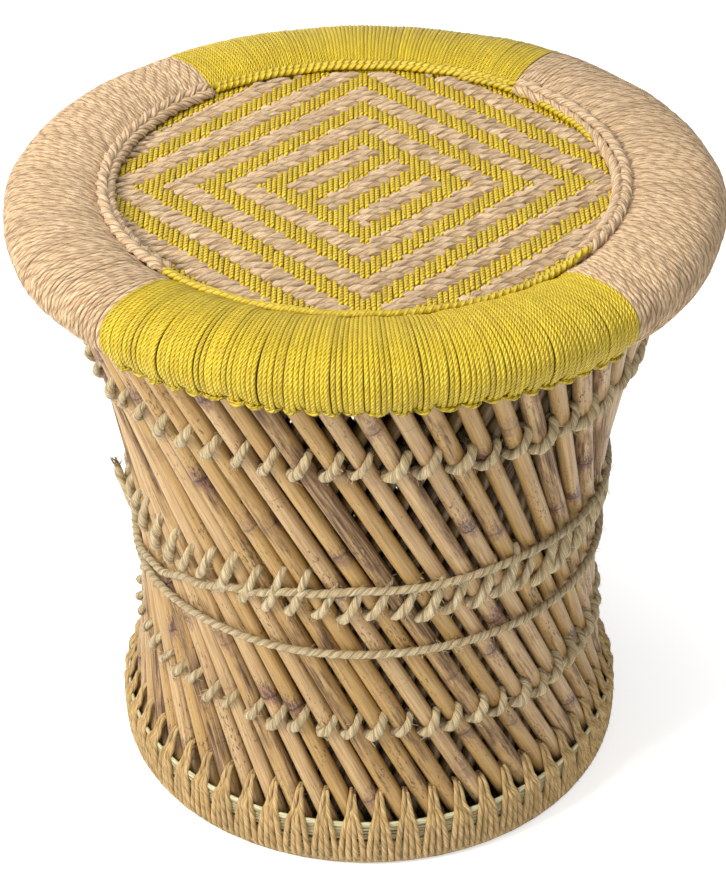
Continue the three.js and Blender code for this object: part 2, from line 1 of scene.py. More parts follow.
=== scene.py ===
# %% [markdown]
# # A mudda: a waisted stool of crossed reeds, rope and cord
# Two layers of straight reeds lean opposite ways round a ring, and so make a waist without bending.
# Rope ties the layers through the diamond holes, a bound ring holds the feet, and a thick rim
# wound with cord holds the heads. The seat is woven from yellow cord and jute rope.
# We write sizes in millimetres and turn them into metres for Blender, in the same place as the
# measured model.

# %% Load the measured model
import bpy
import math
import random
from mathutils import Matrix, Vector


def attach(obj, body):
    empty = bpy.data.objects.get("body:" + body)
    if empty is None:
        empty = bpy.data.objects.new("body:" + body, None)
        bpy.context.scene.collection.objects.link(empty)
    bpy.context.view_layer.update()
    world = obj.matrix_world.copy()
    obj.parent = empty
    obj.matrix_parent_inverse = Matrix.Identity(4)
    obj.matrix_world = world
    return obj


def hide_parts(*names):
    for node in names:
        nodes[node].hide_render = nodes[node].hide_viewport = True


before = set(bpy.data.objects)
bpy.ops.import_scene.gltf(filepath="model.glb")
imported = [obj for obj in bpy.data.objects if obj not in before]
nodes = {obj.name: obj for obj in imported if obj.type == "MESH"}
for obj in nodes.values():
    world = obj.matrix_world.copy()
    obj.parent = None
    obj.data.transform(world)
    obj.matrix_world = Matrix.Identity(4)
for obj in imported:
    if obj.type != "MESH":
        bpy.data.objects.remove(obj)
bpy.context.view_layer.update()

MM = 0.001
TURN = 2 * math.pi

# %% [markdown]
# ## Camera
# The photograph was taken from in front and well above, about 1.5 m away. A constraint could aim the
# camera, but this one also leans a little to one side, so its three axes are written out as a matrix.
# A long lens keeps the foot ring and the rim in the right proportion.

# %% Camera
ELEVATION = math.radians(34.8954)
ROLL = math.radians(-0.577)
DISTANCE_MM = 1500
AIM_HEIGHT_MM = 205
PHOTO_HEIGHT_PX = 888
FOCAL_LENGTH_PX = 2395.0
SHIFT_RIGHT_PX, SHIFT_UP_PX = -3.84, 2.6
eye_height_mm = AIM_HEIGHT_MM + DISTANCE_MM * math.sin(ELEVATION)
eye = Vector((0, -DISTANCE_MM * math.cos(ELEVATION), eye_height_mm)) * MM
ahead = Vector((0, math.cos(ELEVATION), -math.sin(ELEVATION)))
level = Vector((1, 0, 0))
upright = level.cross(ahead)
right = level * math.cos(ROLL) + upright * math.sin(ROLL)
up = right.cross(ahead)
lens = bpy.data.cameras.new("photo_camera")
lens.sensor_width = 36
lens.lens = FOCAL_LENGTH_PX / PHOTO_HEIGHT_PX * lens.sensor_width
lens.shift_x = SHIFT_RIGHT_PX / PHOTO_HEIGHT_PX
lens.shift_y = SHIFT_UP_PX / PHOTO_HEIGHT_PX
lens.clip_start = 0.05
camera = bpy.data.objects.new("photo_camera", lens)
bpy.context.scene.collection.objects.link(camera)
camera.matrix_world = Matrix.Translation(eye) @ Matrix((right, up, -ahead)).transposed().to_4x4()
bpy.context.scene.camera = camera
print("camera stands at", eye, "with a", round(lens.lens), "mm lens")

# %% [markdown]
# ## One way to add a node
# Every material and every geometry tree below is built with this one function. A tree can also be
# drawn by hand in the node editor, but as text it can be read from top to bottom and made again.
# Settings are the node's own properties. Inputs go by name, or as a list in the node's own order.

# %% A small function that adds a node
def linear(hex_colour):
    """The linear colour that Blender wants for an sRGB hex value."""
    parts = [int(hex_colour[i:i + 2], 16) / 255 for i in (1, 3, 5)]
    return tuple(c / 12.92 if c <= 0.04045 else ((c + 0.055) / 1.055) ** 2.4 for c in parts) + (1,)


def add(tree, kind, inputs=(), stops=(), **settings):
    """Adds one node. An input is a value, a socket to link from, or a node, which gives its first
    output. Stops are the positions and colours of a colour ramp."""
    node = tree.nodes.new(kind)
    for name, value in settings.items():
        setattr(node, name, value)
    for name, value in inputs.items() if isinstance(inputs, dict) else enumerate(inputs):
        source = value.outputs[0] if isinstance(value, bpy.types.Node) else value
        if isinstance(source, bpy.types.NodeSocket):
            tree.links.new(source, node.inputs[name])
        else:
            node.inputs[name].default_value = source
    if stops:
        elements = node.color_ramp.elements
        # A new ramp has two stops already
        for _ in stops[2:]:
            elements.new(0.5)
        for element, (position, hex_colour) in zip(elements, stops):
            element.position, element.color = position, linear(hex_colour)
    return node


print("white is", linear("#ffffff")[:3])

# %% [markdown]
# ## Light and floor
# The photograph is a studio cut-out: white ground, a soft light from the left and in front, and a
# darker right side. Stronger lamps would whiten the ground, but bleach the reeds too. So the white
# comes from what the camera sees of the world and the floor, and the floor still shows a soft shadow.

# %% Lights
def studio_light(name, place_mm, aim_mm, size_mm, power, tint):
    """A square lamp at one place that looks at another."""
    lamp = bpy.data.lights.new(name, "AREA")
    lamp.size = size_mm * MM
    lamp.energy = power
    lamp.color = linear(tint)[:3]
    obj = bpy.data.objects.new(name, lamp)
    bpy.context.scene.collection.objects.link(obj)
    obj.location = Vector(place_mm) * MM
    obj.rotation_mode = "QUATERNION"
    obj.rotation_quaternion = (Vector(aim_mm) - Vector(place_mm)).to_track_quat("-Z", "Y")


studio_light("key_light", place_mm=(-1500, -950, 1500), aim_mm=(0, 0, 200), size_mm=650, power=44,
             tint="#fffaf2")
studio_light("front_fill", place_mm=(300, -1900, 500), aim_mm=(0, 0, 180), size_mm=1200, power=10,
             tint="#ffffff")
studio_light("top_light", place_mm=(-200, 100, 2000), aim_mm=(0, 0, 300), size_mm=1100, power=18,
             tint="#ffffff")
print("three soft lamps")

# %% World and floor
WHITE = 1.0
AMBIENT = 0.32
PAPER_GLOW = 0.62
DARK_FLOOR_MM, OPEN_FLOOR_MM = 150, 160
FLOOR_MM = 9000


def background_share(tree):
    """One for rays from the camera, off gloss or through glass, and zero for all other light."""
    ray = add(tree, "ShaderNodeLightPath")
    share = ray.outputs["Is Camera Ray"]
    for other in ("Is Glossy Ray", "Is Transmission Ray"):
        share = add(tree, "ShaderNodeMath", [share, ray.outputs[other]], operation="MAXIMUM")
    return share


def blank_material(name):
    """A material with an empty tree."""
    material = bpy.data.materials.new(name)
    material.use_nodes = True
    material.node_tree.nodes.clear()
    return material, material.node_tree


world = bpy.data.worlds.new("studio")
bpy.context.scene.world = world
world.use_nodes = True
tree = world.node_tree
tree.nodes.clear()
strength = add(tree, "ShaderNodeMapRange",
               {"Value": background_share(tree), "To Min": AMBIENT, "To Max": WHITE})
sky = add(tree, "ShaderNodeBackground", {"Color": linear("#ffffff"), "Strength": strength})
add(tree, "ShaderNodeOutputWorld", {"Surface": sky})

# Matt studio paper: no shine, and a glow that is seen but lights nothing
floor_paper, tree = blank_material("pale_studio_floor")
paper = add(tree, "ShaderNodeBsdfDiffuse", {"Color": linear("#eeeeee")})
# Under the stool the paper is in the dark, so it glows only outside the foot ring
body = add(tree, "ShaderNodeTexCoord")
far = add(tree, "ShaderNodeVectorMath", [body.outputs["Object"]], operation="LENGTH")
open_floor = add(tree, "ShaderNodeMapRange",
                 [far.outputs["Value"], DARK_FLOOR_MM * MM, OPEN_FLOOR_MM * MM, 0.0, PAPER_GLOW])
lift = add(tree, "ShaderNodeMath", [background_share(tree), open_floor], operation="MULTIPLY")
glow = add(tree, "ShaderNodeEmission", {"Color": linear("#ffffff"), "Strength": lift})
both = add(tree, "ShaderNodeAddShader", [paper, glow])
add(tree, "ShaderNodeOutputMaterial", {"Surface": both})

half = FLOOR_MM * MM / 2
floor_mesh = bpy.data.meshes.new("floor")
floor_corners = [(-half, -half, 0), (half, -half, 0), (half, half, 0), (-half, half, 0)]
floor_mesh.from_pydata(floor_corners, [], [(0, 1, 2, 3)])
floor_mesh.materials.append(floor_paper)
floor = bpy.data.objects.new("floor", floor_mesh)
bpy.context.scene.collection.objects.link(floor)
bpy.context.scene.view_settings.view_transform = "Standard"
print("white ground, ambient light", AMBIENT)

# %% [markdown]
# ## A rope is a profile swept along a path
# Reed, rope, cord and grass all follow paths. A bevelled curve would give smooth round cord, but
# twisted rope shows its strands even in outline. So a geometry tree sweeps a profile with one lobe
# for each strand and turns it as it goes, once every lay length, so that the strands wind round each
# other. It also stores where each point is along and around the rope, for the material to use.

# %% How a geometry tree starts and ends
def open_tree(name, wanted):
    """A new geometry tree, and the sockets that give its named inputs."""
    tree = bpy.data.node_groups.new(name, "GeometryNodeTree")
    tree.interface.new_socket("Geometry", in_out="INPUT", socket_type="NodeSocketGeometry")
    tree.interface.new_socket("Geometry", in_out="OUTPUT", socket_type="NodeSocketGeometry")
    for label, kind in wanted.items():
        tree.interface.new_socket(label, in_out="INPUT", socket_type="NodeSocket" + kind)
    return tree, add(tree, "NodeGroupInput").outputs


def close_tree(tree, last, given):
    """Smooth faces, real geometry and the material, as the trees for rope and reeds end."""
    smooth = add(tree, "GeometryNodeSetShadeSmooth", [last])
    real = add(tree, "GeometryNodeRealizeInstances", [smooth])
    dressed = add(tree, "GeometryNodeSetMaterial", {"Geometry": real, "Material": given["Material"]})
    add(tree, "NodeGroupOutput", [dressed])
    print(tree.name + ":", len(tree.nodes), "nodes")


print("a tree takes a mesh of paths and gives a solid mesh")

# %% Rope tree: the profile, a circle with a groove between strands
def marked_circle(tree, sides):
    """A circle of radius 1 whose points remember where they lie around it, and that position."""
    circle = add(tree, "GeometryNodeCurvePrimitiveCircle", {"Resolution": sides, "Radius": 1.0})
    here = add(tree, "GeometryNodeInputPosition")
    marked = add(tree, "GeometryNodeStoreNamedAttribute",
                 {"Geometry": circle, "Name": "around", "Value": here}, data_type="FLOAT_VECTOR")
    return marked, here


rope_tree, given = open_tree("rope_along_path", {
    "Width": "Float", "Thickness": "Float", "Strands": "Int", "Groove": "Float", "Lay": "Float",
    "Sides": "Int", "Seed": "Int", "Material": "Material"})
marked, here = marked_circle(rope_tree, given["Sides"])
count = add(rope_tree, "GeometryNodeInputIndex")
share = add(rope_tree, "ShaderNodeMath", [count, given["Sides"]], operation="DIVIDE")
half_turns = add(rope_tree, "ShaderNodeMath", [share, given["Strands"]], operation="MULTIPLY")
angle = add(rope_tree, "ShaderNodeMath", [half_turns, math.pi], operation="MULTIPLY")
wave = add(rope_tree, "ShaderNodeMath", [angle], operation="COSINE")
wave = add(rope_tree, "ShaderNodeMath", [wave], operation="ABSOLUTE")
dip = add(rope_tree, "ShaderNodeMath", [1.0, wave], operation="SUBTRACT")
dip = add(rope_tree, "ShaderNodeMath", [dip, given["Groove"]], operation="MULTIPLY")
reach = add(rope_tree, "ShaderNodeMath", [1.0, dip], operation="SUBTRACT")
half_width = add(rope_tree, "ShaderNodeMath", [given["Width"], 0.5], operation="MULTIPLY")
half_depth = add(rope_tree, "ShaderNodeMath", [given["Thickness"], 0.5], operation="MULTIPLY")
across = add(rope_tree, "ShaderNodeMath", [half_width, reach], operation="MULTIPLY")
deep = add(rope_tree, "ShaderNodeMath", [half_depth, reach], operation="MULTIPLY")
factors = add(rope_tree, "ShaderNodeCombineXYZ", [across, deep])
shaped = add(rope_tree, "ShaderNodeVectorMath", [here, factors], operation="MULTIPLY")
profile = add(rope_tree, "GeometryNodeSetPosition", {"Geometry": marked, "Position": shaped})
print("the profile takes", len(rope_tree.nodes), "nodes")

# %% Rope tree: along the path
# The side direction comes with the path, and the tilt winds the strands
curve = add(rope_tree, "GeometryNodeMeshToCurve", [given["Geometry"]])
side = add(rope_tree, "GeometryNodeInputNamedAttribute", ["side"], data_type="FLOAT_VECTOR")
faced = add(rope_tree, "GeometryNodeSetCurveNormal", {"Curve": curve, "Normal": side}, mode="FREE")
travel = add(rope_tree, "GeometryNodeSplineParameter")
whole = add(rope_tree, "GeometryNodeSplineLength")
# A whole number of turns, so that a closed rope meets itself
lays = add(rope_tree, "ShaderNodeMath", [whole, given["Lay"]], operation="DIVIDE")
lays = add(rope_tree, "ShaderNodeMath", [lays], operation="ROUND")
turns = add(rope_tree, "ShaderNodeMath", [lays, travel.outputs["Factor"]], operation="MULTIPLY")
tilt = add(rope_tree, "ShaderNodeMath", [turns, TURN], operation="MULTIPLY")
laid = add(rope_tree, "GeometryNodeSetCurveTilt", {"Curve": faced, "Tilt": tilt})
which = add(rope_tree, "GeometryNodeCurveOfPoint")
tone = add(rope_tree, "FunctionNodeRandomValue", {2: 0.0, 3: 1.0, "ID": which, "Seed": given["Seed"]},
           data_type="FLOAT")
for label, value in (("tone", tone.outputs[1]), ("along", travel.outputs["Length"])):
    laid = add(rope_tree, "GeometryNodeStoreNamedAttribute",
               {"Geometry": laid, "Name": label, "Value": value}, data_type="FLOAT")
girth = add(rope_tree, "GeometryNodeInputNamedAttribute", ["girth"], data_type="FLOAT")
swept = add(rope_tree, "GeometryNodeCurveToMesh",
            {"Curve": laid, "Profile Curve": profile, "Scale": girth, "Fill Caps": True})
close_tree(rope_tree, swept, given)

# %% [markdown]
# ## Stray fibres
# Grass and jute rope are hairy. Hair particles would show in the render but not in an exported mesh.
# So a second tree scatters short bent tubes over the rope that it is given, each standing off the
# surface at its own angle. Real fibres are a tenth of a millimetre thick; these are drawn nearly
# three times as thick, or they would not show.

# %% Geometry tree for stray fibres
# Shares of the given length
SHORTEST_FIBRE, LONGEST_FIBRE = 0.35, 1.25
fibre_tree, given = open_tree("stray_fibres", {
    "Fibres per Square Metre": "Float", "Fibre Length": "Float", "Fibre Radius": "Float",
    "Fibre Seed": "Int", "Fibre Material": "Material"})
# One bent fibre, with three sides and three steps, because there are thousands
rise = add(fibre_tree, "ShaderNodeMath", [given["Fibre Length"], 0.55], operation="MULTIPLY")
low_rise = add(fibre_tree, "ShaderNodeMath", [given["Fibre Length"], 0.30], operation="MULTIPLY")
middle = add(fibre_tree, "ShaderNodeCombineXYZ", {"X": low_rise, "Z": low_rise})
tip = add(fibre_tree, "ShaderNodeCombineXYZ", {"X": given["Fibre Length"], "Z": rise})
arc = add(fibre_tree, "GeometryNodeCurveQuadraticBezier",
          {"Resolution": 3, "Start": (0, 0, 0), "Middle": middle, "End": tip})
ring = add(fibre_tree, "GeometryNodeCurvePrimitiveCircle",
           {"Resolution": 3, "Radius": given["Fibre Radius"]})
fibre = add(fibre_tree, "GeometryNodeCurveToMesh",
            {"Curve": arc, "Profile Curve": ring, "Fill Caps": True})
# Scattered over the rope
spots = add(fibre_tree, "GeometryNodeDistributePointsOnFaces",
            {"Mesh": given["Geometry"], "Density": given["Fibres per Square Metre"],
             "Seed": given["Fibre Seed"]})
spin = add(fibre_tree, "FunctionNodeRandomValue", {2: 0.0, 3: TURN, "Seed": given["Fibre Seed"]},
           data_type="FLOAT")
own = add(fibre_tree, "ShaderNodeCombineXYZ", {"Z": spin.outputs[1]})
turned = add(fibre_tree, "FunctionNodeRotateRotation", [spots.outputs["Rotation"], own],
             rotation_space="LOCAL")
size = add(fibre_tree, "FunctionNodeRandomValue",
           {2: SHORTEST_FIBRE, 3: LONGEST_FIBRE, "Seed": given["Fibre Seed"]}, data_type="FLOAT")
placed = add(fibre_tree, "GeometryNodeInstanceOnPoints",
             {"Points": spots, "Instance": fibre, "Rotation": turned, "Scale": size.outputs[1]})
real = add(fibre_tree, "GeometryNodeRealizeInstances", [placed])
dressed = add(fibre_tree, "GeometryNodeSetMaterial",
              {"Geometry": real, "Material": given["Fibre Material"]})
# The rope goes on to the end with its own material
both = add(fibre_tree, "GeometryNodeJoinGeometry", [dressed])
fibre_tree.links.new(given["Geometry"], both.inputs[0])
add(fibre_tree, "NodeGroupOutput", [both])
print("fibre tree:", len(fibre_tree.nodes), "nodes")

# %% [markdown]
# ## From written paths to a plain mesh
# A path is a list of points in millimetres, each with a side direction and a girth. A Curve object
# can't hold a side direction for each point. So the paths become the edges of one mesh, which can
# hold anything. The tree is laid on it, and the result is kept as a plain mesh.

# %% Points and paths
def polar(radius, degrees, height):
    """A point at a radius and an angle round the stool; -90 degrees is the front."""
    angle = math.radians(degrees)
    return Vector((radius * math.cos(angle), radius * math.sin(angle), height))


def path_of(points, closed=False, away=None, girths=None):
    """A path with its side direction, square to the run and to the direction away."""
    count = len(points)
    sides = []
    for i, point in enumerate(points):
        if closed:
            run = points[(i + 1) % count] - points[i - 1]
        else:
            run = points[min(i + 1, count - 1)] - points[max(i - 1, 0)]
        outward = away[i] if away else Vector((point.x, point.y, 0.001))
        side = run.cross(outward)
        sides.append(side.normalized() if side.length > 1e-6 else Vector((0, 0, 1)))
    return {"points": points, "sides": sides, "girths": girths or [1.0] * count, "closed": closed}


def rounded(points, steps):
    """A smooth row of points through the given ones, with so many steps from each to the next."""
    row = []
    for i in range(len(points) - 1):
        a = points[max(i - 1, 0)]
        b, c = points[i], points[i + 1]
        d = points[min(i + 2, len(points) - 1)]
        for j in range(steps[i]):
            t = j / steps[i]
            row.append(0.5 * (2 * b + (c - a) * t + (2 * a - 5 * b + 4 * c - d) * t ** 2
                              + (3 * b - a - 3 * c + d) * t ** 3))
    row.append(points[-1].copy())
    return row


print("the front of a ring 100 mm out is at", polar(100, -90, 0))

# %% Lay a tree on written paths
def grow(name, tree, paths, sizes, cad_nodes, fibres=None):
    """Lays the tree along the paths and keeps a plain mesh that stands for the CAD nodes."""
    corners, edges, sides, girths = [], [], [], []
    for path in paths:
        first = len(corners)
        corners += [point * MM for point in path["points"]]
        sides += path["sides"]
        girths += path["girths"]
        edges += [(i, i + 1) for i in range(first, len(corners) - 1)]
        if path["closed"]:
            edges.append((len(corners) - 1, first))
    drawing = bpy.data.meshes.new(name + "_paths")
    drawing.from_pydata(corners, edges, [])
    stored = drawing.attributes.new("side", "FLOAT_VECTOR", "POINT")
    stored.data.foreach_set("vector", [c for side in sides for c in side])
    stored = drawing.attributes.new("girth", "FLOAT", "POINT")
    stored.data.foreach_set("value", girths)
    obj = bpy.data.objects.new(name, drawing)
    bpy.context.scene.collection.objects.link(obj)
    for used_tree, values in ((tree, sizes), (fibre_tree, fibres)):
        if values:
            modifier = obj.modifiers.new(used_tree.name, "NODES")
            modifier.node_group = used_tree
            for item in used_tree.interface.items_tree:
                if item.in_out == "INPUT" and item.name in values:
                    modifier[item.identifier] = values[item.name]
    evaluated = obj.evaluated_get(bpy.context.evaluated_depsgraph_get())
    mesh = bpy.data.meshes.new_from_object(evaluated)
    obj.modifiers.clear()
    obj.data = mesh
    mesh.name = name
    bpy.data.meshes.remove(drawing)
    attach(obj, "root")
    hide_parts(*cad_nodes)
    triangles = sum(len(face.vertices) - 2 for face in mesh.polygons)
    length = sum((corners[a] - corners[b]).length for a, b in edges)
    print(f"{name}: {len(paths)} paths, {length:.2f} m long together, {triangles} triangles")
    return obj


print("a piece can be grown from the trees", rope_tree.name, "and", fibre_tree.name)

# %% [markdown]
# ## Twisted cord and rope finishes
# Yellow polypropylene cord is two bundles of shiny filaments twisted together: slanting bright
# stripes with dark grooves between them. Jute and straw rope are dull and hairy: streaks of paler
# and darker fibre that run along each strand. A picture of rope could be laid over them, but it would
# repeat and blur. So one function draws them all: stripes are a wave that runs around and along the
# rope, with painted shade in its grooves, and streaks are noise stretched along the fibre.

# %% Where a point lies on a rope
# How far one rope's noise starts from the next, so that no two look alike
TONE_SHIFT_M = 3.0
TONE_ANGLE = 40.0


def fibre_places(tree, radius_mm, stretches, slant_mm=0.0):
    """Where a point lies on the fibre: around, and shortened along by each of the stretches."""
    around, along, tone = [add(tree, "ShaderNodeAttribute", attribute_name=label)
                           for label in ("around", "along", "tone")]
    along, tone = along.outputs["Fac"], tone.outputs["Fac"]
    parts = add(tree, "ShaderNodeSeparateXYZ", [around.outputs["Vector"]])
    angle = add(tree, "ShaderNodeMath", [parts.outputs["Y"], parts.outputs["X"]], operation="ARCTAN2")
    if slant_mm:
        wind = add(tree, "ShaderNodeMath", [along, TURN / (slant_mm * MM)], operation="MULTIPLY")
        wind = add(tree, "ShaderNodeMath", [tone, TONE_ANGLE, wind], operation="MULTIPLY_ADD")
        angle = add(tree, "ShaderNodeMath", [angle, wind], operation="ADD")
    cosine = add(tree, "ShaderNodeMath", [angle], operation="COSINE")
    sine = add(tree, "ShaderNodeMath", [angle], operation="SINE")
    flat = add(tree, "ShaderNodeCombineXYZ", [cosine, sine])
    ring = add(tree, "ShaderNodeVectorMath", {0: flat, "Scale": radius_mm * MM}, operation="SCALE")
    places = []
    for stretch in stretches:
        run = add(tree, "ShaderNodeMath", [along, stretch], operation="MULTIPLY")
        run = add(tree, "ShaderNodeMath", [tone, TONE_SHIFT_M, run], operation="MULTIPLY_ADD")
        lift = add(tree, "ShaderNodeCombineXYZ", {"Z": run})
        places.append(add(tree, "ShaderNodeVectorMath", [ring, lift], operation="ADD"))
    return places, angle, parts.outputs["X"], along, tone


print("each rope starts somewhere in", TONE_SHIFT_M, "m of noise")

# %% One finish for every twisted cord
# A stripe this long runs straight along its strand
STRAIGHT_MM = 400.0
# Noise along the rope is shortened to this, so that it turns into long streaks
ROPE_STRETCH = 0.065
# Where dark, main and pale fibre sit in the noise, and how large the patches of one tone are
FIBRE_STOPS = (0.30, 0.50, 0.72)
PATCH_MM = 22


def twisted_finish(name, colours, strands, radius_mm, fibre_mm, fibre_depth_mm, groove_shade_share,
                   stripe_mm=STRAIGHT_MM, stripe_depth_mm=0.0, slant_mm=0.0, crease_shade_share=0.0,
                   roughness=0.85, specular=0.25, sheen=0.15):
    """Rope or cord. The colours are those of the painted shade in groove and crease, and of dark, main
    and pale fibre. A stripe is from one ridge to the next along the cord, and a fibre winds round once in
    every slant."""
    material, tree = blank_material(name)
    (place,), angle, sideways, along, tone = fibre_places(tree, radius_mm, (ROPE_STRETCH,), slant_mm)
    streaks = add(tree, "ShaderNodeTexNoise",
                  {"Vector": place, "Scale": 1 / (fibre_mm * MM), "Detail": 3.0, "Roughness": 0.6})
    fibre = add(tree, "ShaderNodeValToRGB", [streaks], list(zip(FIBRE_STOPS, colours[1:])))
    # Each turn or run is a little lighter or darker than its neighbour, and so is each patch
    body = add(tree, "ShaderNodeTexCoord")
    patches = add(tree, "ShaderNodeTexNoise",
                  {"Vector": body.outputs["Object"], "Scale": 1 / (PATCH_MM * MM), "Detail": 2.0})
    shift = add(tree, "ShaderNodeMath", [patches, tone], operation="ADD")
    value = add(tree, "ShaderNodeMapRange", [shift, 0.3, 1.7, 0.84, 1.13])
    varied = add(tree, "ShaderNodeHueSaturation", {"Color": fibre, "Value": value})
    # The stripe wave: one ridge for each strand, with painted shade in the groove between ridges
    turns = add(tree, "ShaderNodeMath", [angle, float(strands)], operation="MULTIPLY")
    travel = add(tree, "ShaderNodeMath", [along, TURN / (stripe_mm * MM)], operation="MULTIPLY")
    phase = add(tree, "ShaderNodeMath", [turns, travel], operation="SUBTRACT")
    halved = add(tree, "ShaderNodeMath", [phase, 0.5], operation="MULTIPLY")
    wave = add(tree, "ShaderNodeMath", [halved], operation="COSINE")
    ridge = add(tree, "ShaderNodeMath", [wave], operation="ABSOLUTE")
    groove = add(tree, "ShaderNodeMapRange", [ridge, 0.10, 0.60, groove_shade_share, 0.0],
                 interpolation_type="SMOOTHSTEP")
    # Painted shade: where one turn touches the next, the crease between them is painted dark
    outer = add(tree, "ShaderNodeMath", [sideways], operation="ABSOLUTE")
    crease_shade = add(tree, "ShaderNodeMapRange", [outer, 0.70, 0.97, 0.0, crease_shade_share])
    # Groove and crease both take the first colour, which is painted shade
    dark = add(tree, "ShaderNodeMath", [groove, crease_shade], operation="MAXIMUM")
    colour = add(tree, "ShaderNodeMix", {"Factor": dark, 6: varied, 7: linear(colours[0])},
                 data_type="RGBA")
    coarse = add(tree, "ShaderNodeBump", {"Height": ridge, "Distance": stripe_depth_mm * MM})
    fine = add(tree, "ShaderNodeBump",
               {"Height": streaks, "Distance": fibre_depth_mm * MM, "Normal": coarse})
    # What is the same all over is a plain value on the shader
    shader = add(tree, "ShaderNodeBsdfPrincipled",
                 {"Base Color": colour.outputs[2], "Roughness": roughness,
                  "Specular IOR Level": specular, "Sheen Weight": sheen, "Normal": fine})
    add(tree, "ShaderNodeOutputMaterial", {"Surface": shader})
    return material


print("a stripe of", STRAIGHT_MM, "mm runs straight along its strand")

# %% Cord and rope finishes
# Filaments and jute fibres are a tenth of a millimetre thick or less, too fine to show, so their
# streaks are drawn about 0.4 mm wide. Munj is split grass, and its 0.5 mm is true.

# Polypropylene cord, drawn filaments twisted together: satin, with a crisp slanting stripe
# Each list starts with the painted shade of grooves and creases, then dark, main and pale fibre
YELLOW = ("#5f4a08", "#b2940a", "#cfb311", "#f0da40")
YELLOW_PALE = ("#523b0c", "#bc9a12", "#dcbb1e", "#f8e256")
yellow_wrap = twisted_finish("twisted_polypropylene_cord_wound", YELLOW, strands=4, radius_mm=1.40,
                             fibre_mm=0.40, fibre_depth_mm=0.18, groove_shade_share=0.42, stripe_mm=2.8,
                             stripe_depth_mm=0.50, crease_shade_share=0.72,
                             roughness=0.40, specular=0.5, sheen=0.0)
yellow_weave = twisted_finish("twisted_polypropylene_cord_woven", YELLOW_PALE, strands=2, radius_mm=1.45,
                              fibre_mm=0.40, fibre_depth_mm=0.20, groove_shade_share=0.68, stripe_mm=2.9,
                              stripe_depth_mm=0.90, crease_shade_share=0.85,
                              roughness=0.45, specular=0.45, sheen=0.0)
yellow_edge = twisted_finish("twisted_polypropylene_cord_edging", YELLOW, strands=2, radius_mm=1.6,
                             fibre_mm=0.45, fibre_depth_mm=0.25, groove_shade_share=0.80,
                             roughness=0.40, specular=0.5, sheen=0.0)
# Jute rope, loosely spun plies of bast fibre: matt, pale, with long paler and darker hairs
JUTE = ("#5c4026", "#946e48", "#c8a983", "#f2dfbe")
JUTE_PALE = ("#6a4a2e", "#9c754e", "#d2b48e", "#f8e6c6")
jute_wrap = twisted_finish("jute_yarn_wound", JUTE, strands=2, radius_mm=1.7, fibre_mm=0.40,
                           fibre_depth_mm=0.20, groove_shade_share=0.55, stripe_depth_mm=0.50,
                           slant_mm=-20.0, crease_shade_share=0.85)
jute_weave = twisted_finish("jute_rope_woven", JUTE_PALE, strands=3, radius_mm=3.0, fibre_mm=0.36,
                            fibre_depth_mm=0.80, groove_shade_share=0.56)
jute_plait = twisted_finish("jute_strands_plaited", JUTE_PALE, strands=5, radius_mm=3.6, fibre_mm=0.42,
                            fibre_depth_mm=0.50, groove_shade_share=0.60, stripe_depth_mm=0.3)
# Munj grass rope of two plies, coarser and greener than jute: matt straw colour
STRAW = ("#604b2a", "#9a8056", "#cdb88c", "#f6ebd0")
straw_rope = twisted_finish("munj_grass_rope_two_ply", STRAW, strands=2, radius_mm=2.4, fibre_mm=0.50,
                            fibre_depth_mm=1.10, groove_shade_share=0.50, slant_mm=70)
# The foot is bound with a warmer, browner rope of the same make
FOOT = ("#59401f", "#9b7946", "#c6a56c", "#e8d2a2")
foot_rope = twisted_finish("munj_grass_rope_foot_binding", FOOT, strands=2, radius_mm=2.0,
                           fibre_mm=0.60, fibre_depth_mm=0.60, groove_shade_share=0.40, slant_mm=90)
print("eight cord and rope finishes made")

# %% Finishes and sizes of loose fibres
def fibre_finish(name, dark, pale):
    """Single dry fibres: thin, matt, each a little paler or darker by where it grows."""
    material, tree = blank_material(name)
    body = add(tree, "ShaderNodeTexCoord")
    spread = add(tree, "ShaderNodeTexNoise", {"Vector": body.outputs["Object"], "Scale": 1 / (3 * MM)})
    colour = add(tree, "ShaderNodeMix", {"Factor": spread, 6: linear(dark), 7: linear(pale)},
                 data_type="RGBA")
    shader = add(tree, "ShaderNodeBsdfPrincipled",
                 {"Base Color": colour.outputs[2], "Roughness": 0.8, "Specular IOR Level": 0.2})
    add(tree, "ShaderNodeOutputMaterial", {"Surface": shader})
    return material


straw_fibre = fibre_finish("loose_munj_fibre", "#a8935f", "#f0e4c0")
jute_fibre = fibre_finish("loose_jute_fibre", "#b18f66", "#efdcba")
STRAW_HAIRS = {"Fibres per Square Metre": 42000.0, "Fibre Length": 3.4 * MM,
               "Fibre Radius": 0.13 * MM, "Fibre Seed": 3, "Fibre Material": straw_fibre}
JUTE_HAIRS = STRAW_HAIRS | {"Fibre Material": jute_fibre, "Fibre Length": 2.6 * MM,
                            "Fibres per Square Metre": 16000.0}
print("two fibre finishes made")

# %% [markdown]
# ## Where the reeds run
# A straight reed that leans round a circle passes nearer the middle at half height, which makes the
# waist, so no reed has to be bent. Both layers have 58 reeds. They turn by angles that add up to 21
# spacings, so each outer reed crosses 21 inner ones and the holes line up in rows. The small
# difference between the two angles keeps the layers one reed apart at the waist. A formula for it
# would be long, so we look for it by halving.

# %% The two layers of reeds
REED_COUNT = 58
PITCH = 360 / REED_COUNT
CROSSINGS = 21
REED_RADIUS = 4.95
MEASURED_SIDES = 8
REED_FLAT = REED_RADIUS * math.cos(math.pi / MEASURED_SIDES)
LAYER_GAP = 0.45
LAYER_STEP = 2 * REED_FLAT + LAYER_GAP
FOOT_HEIGHT, HEAD_HEIGHT = 28, 384
OUTER_FOOT, OUTER_HEAD = 151.2, 184


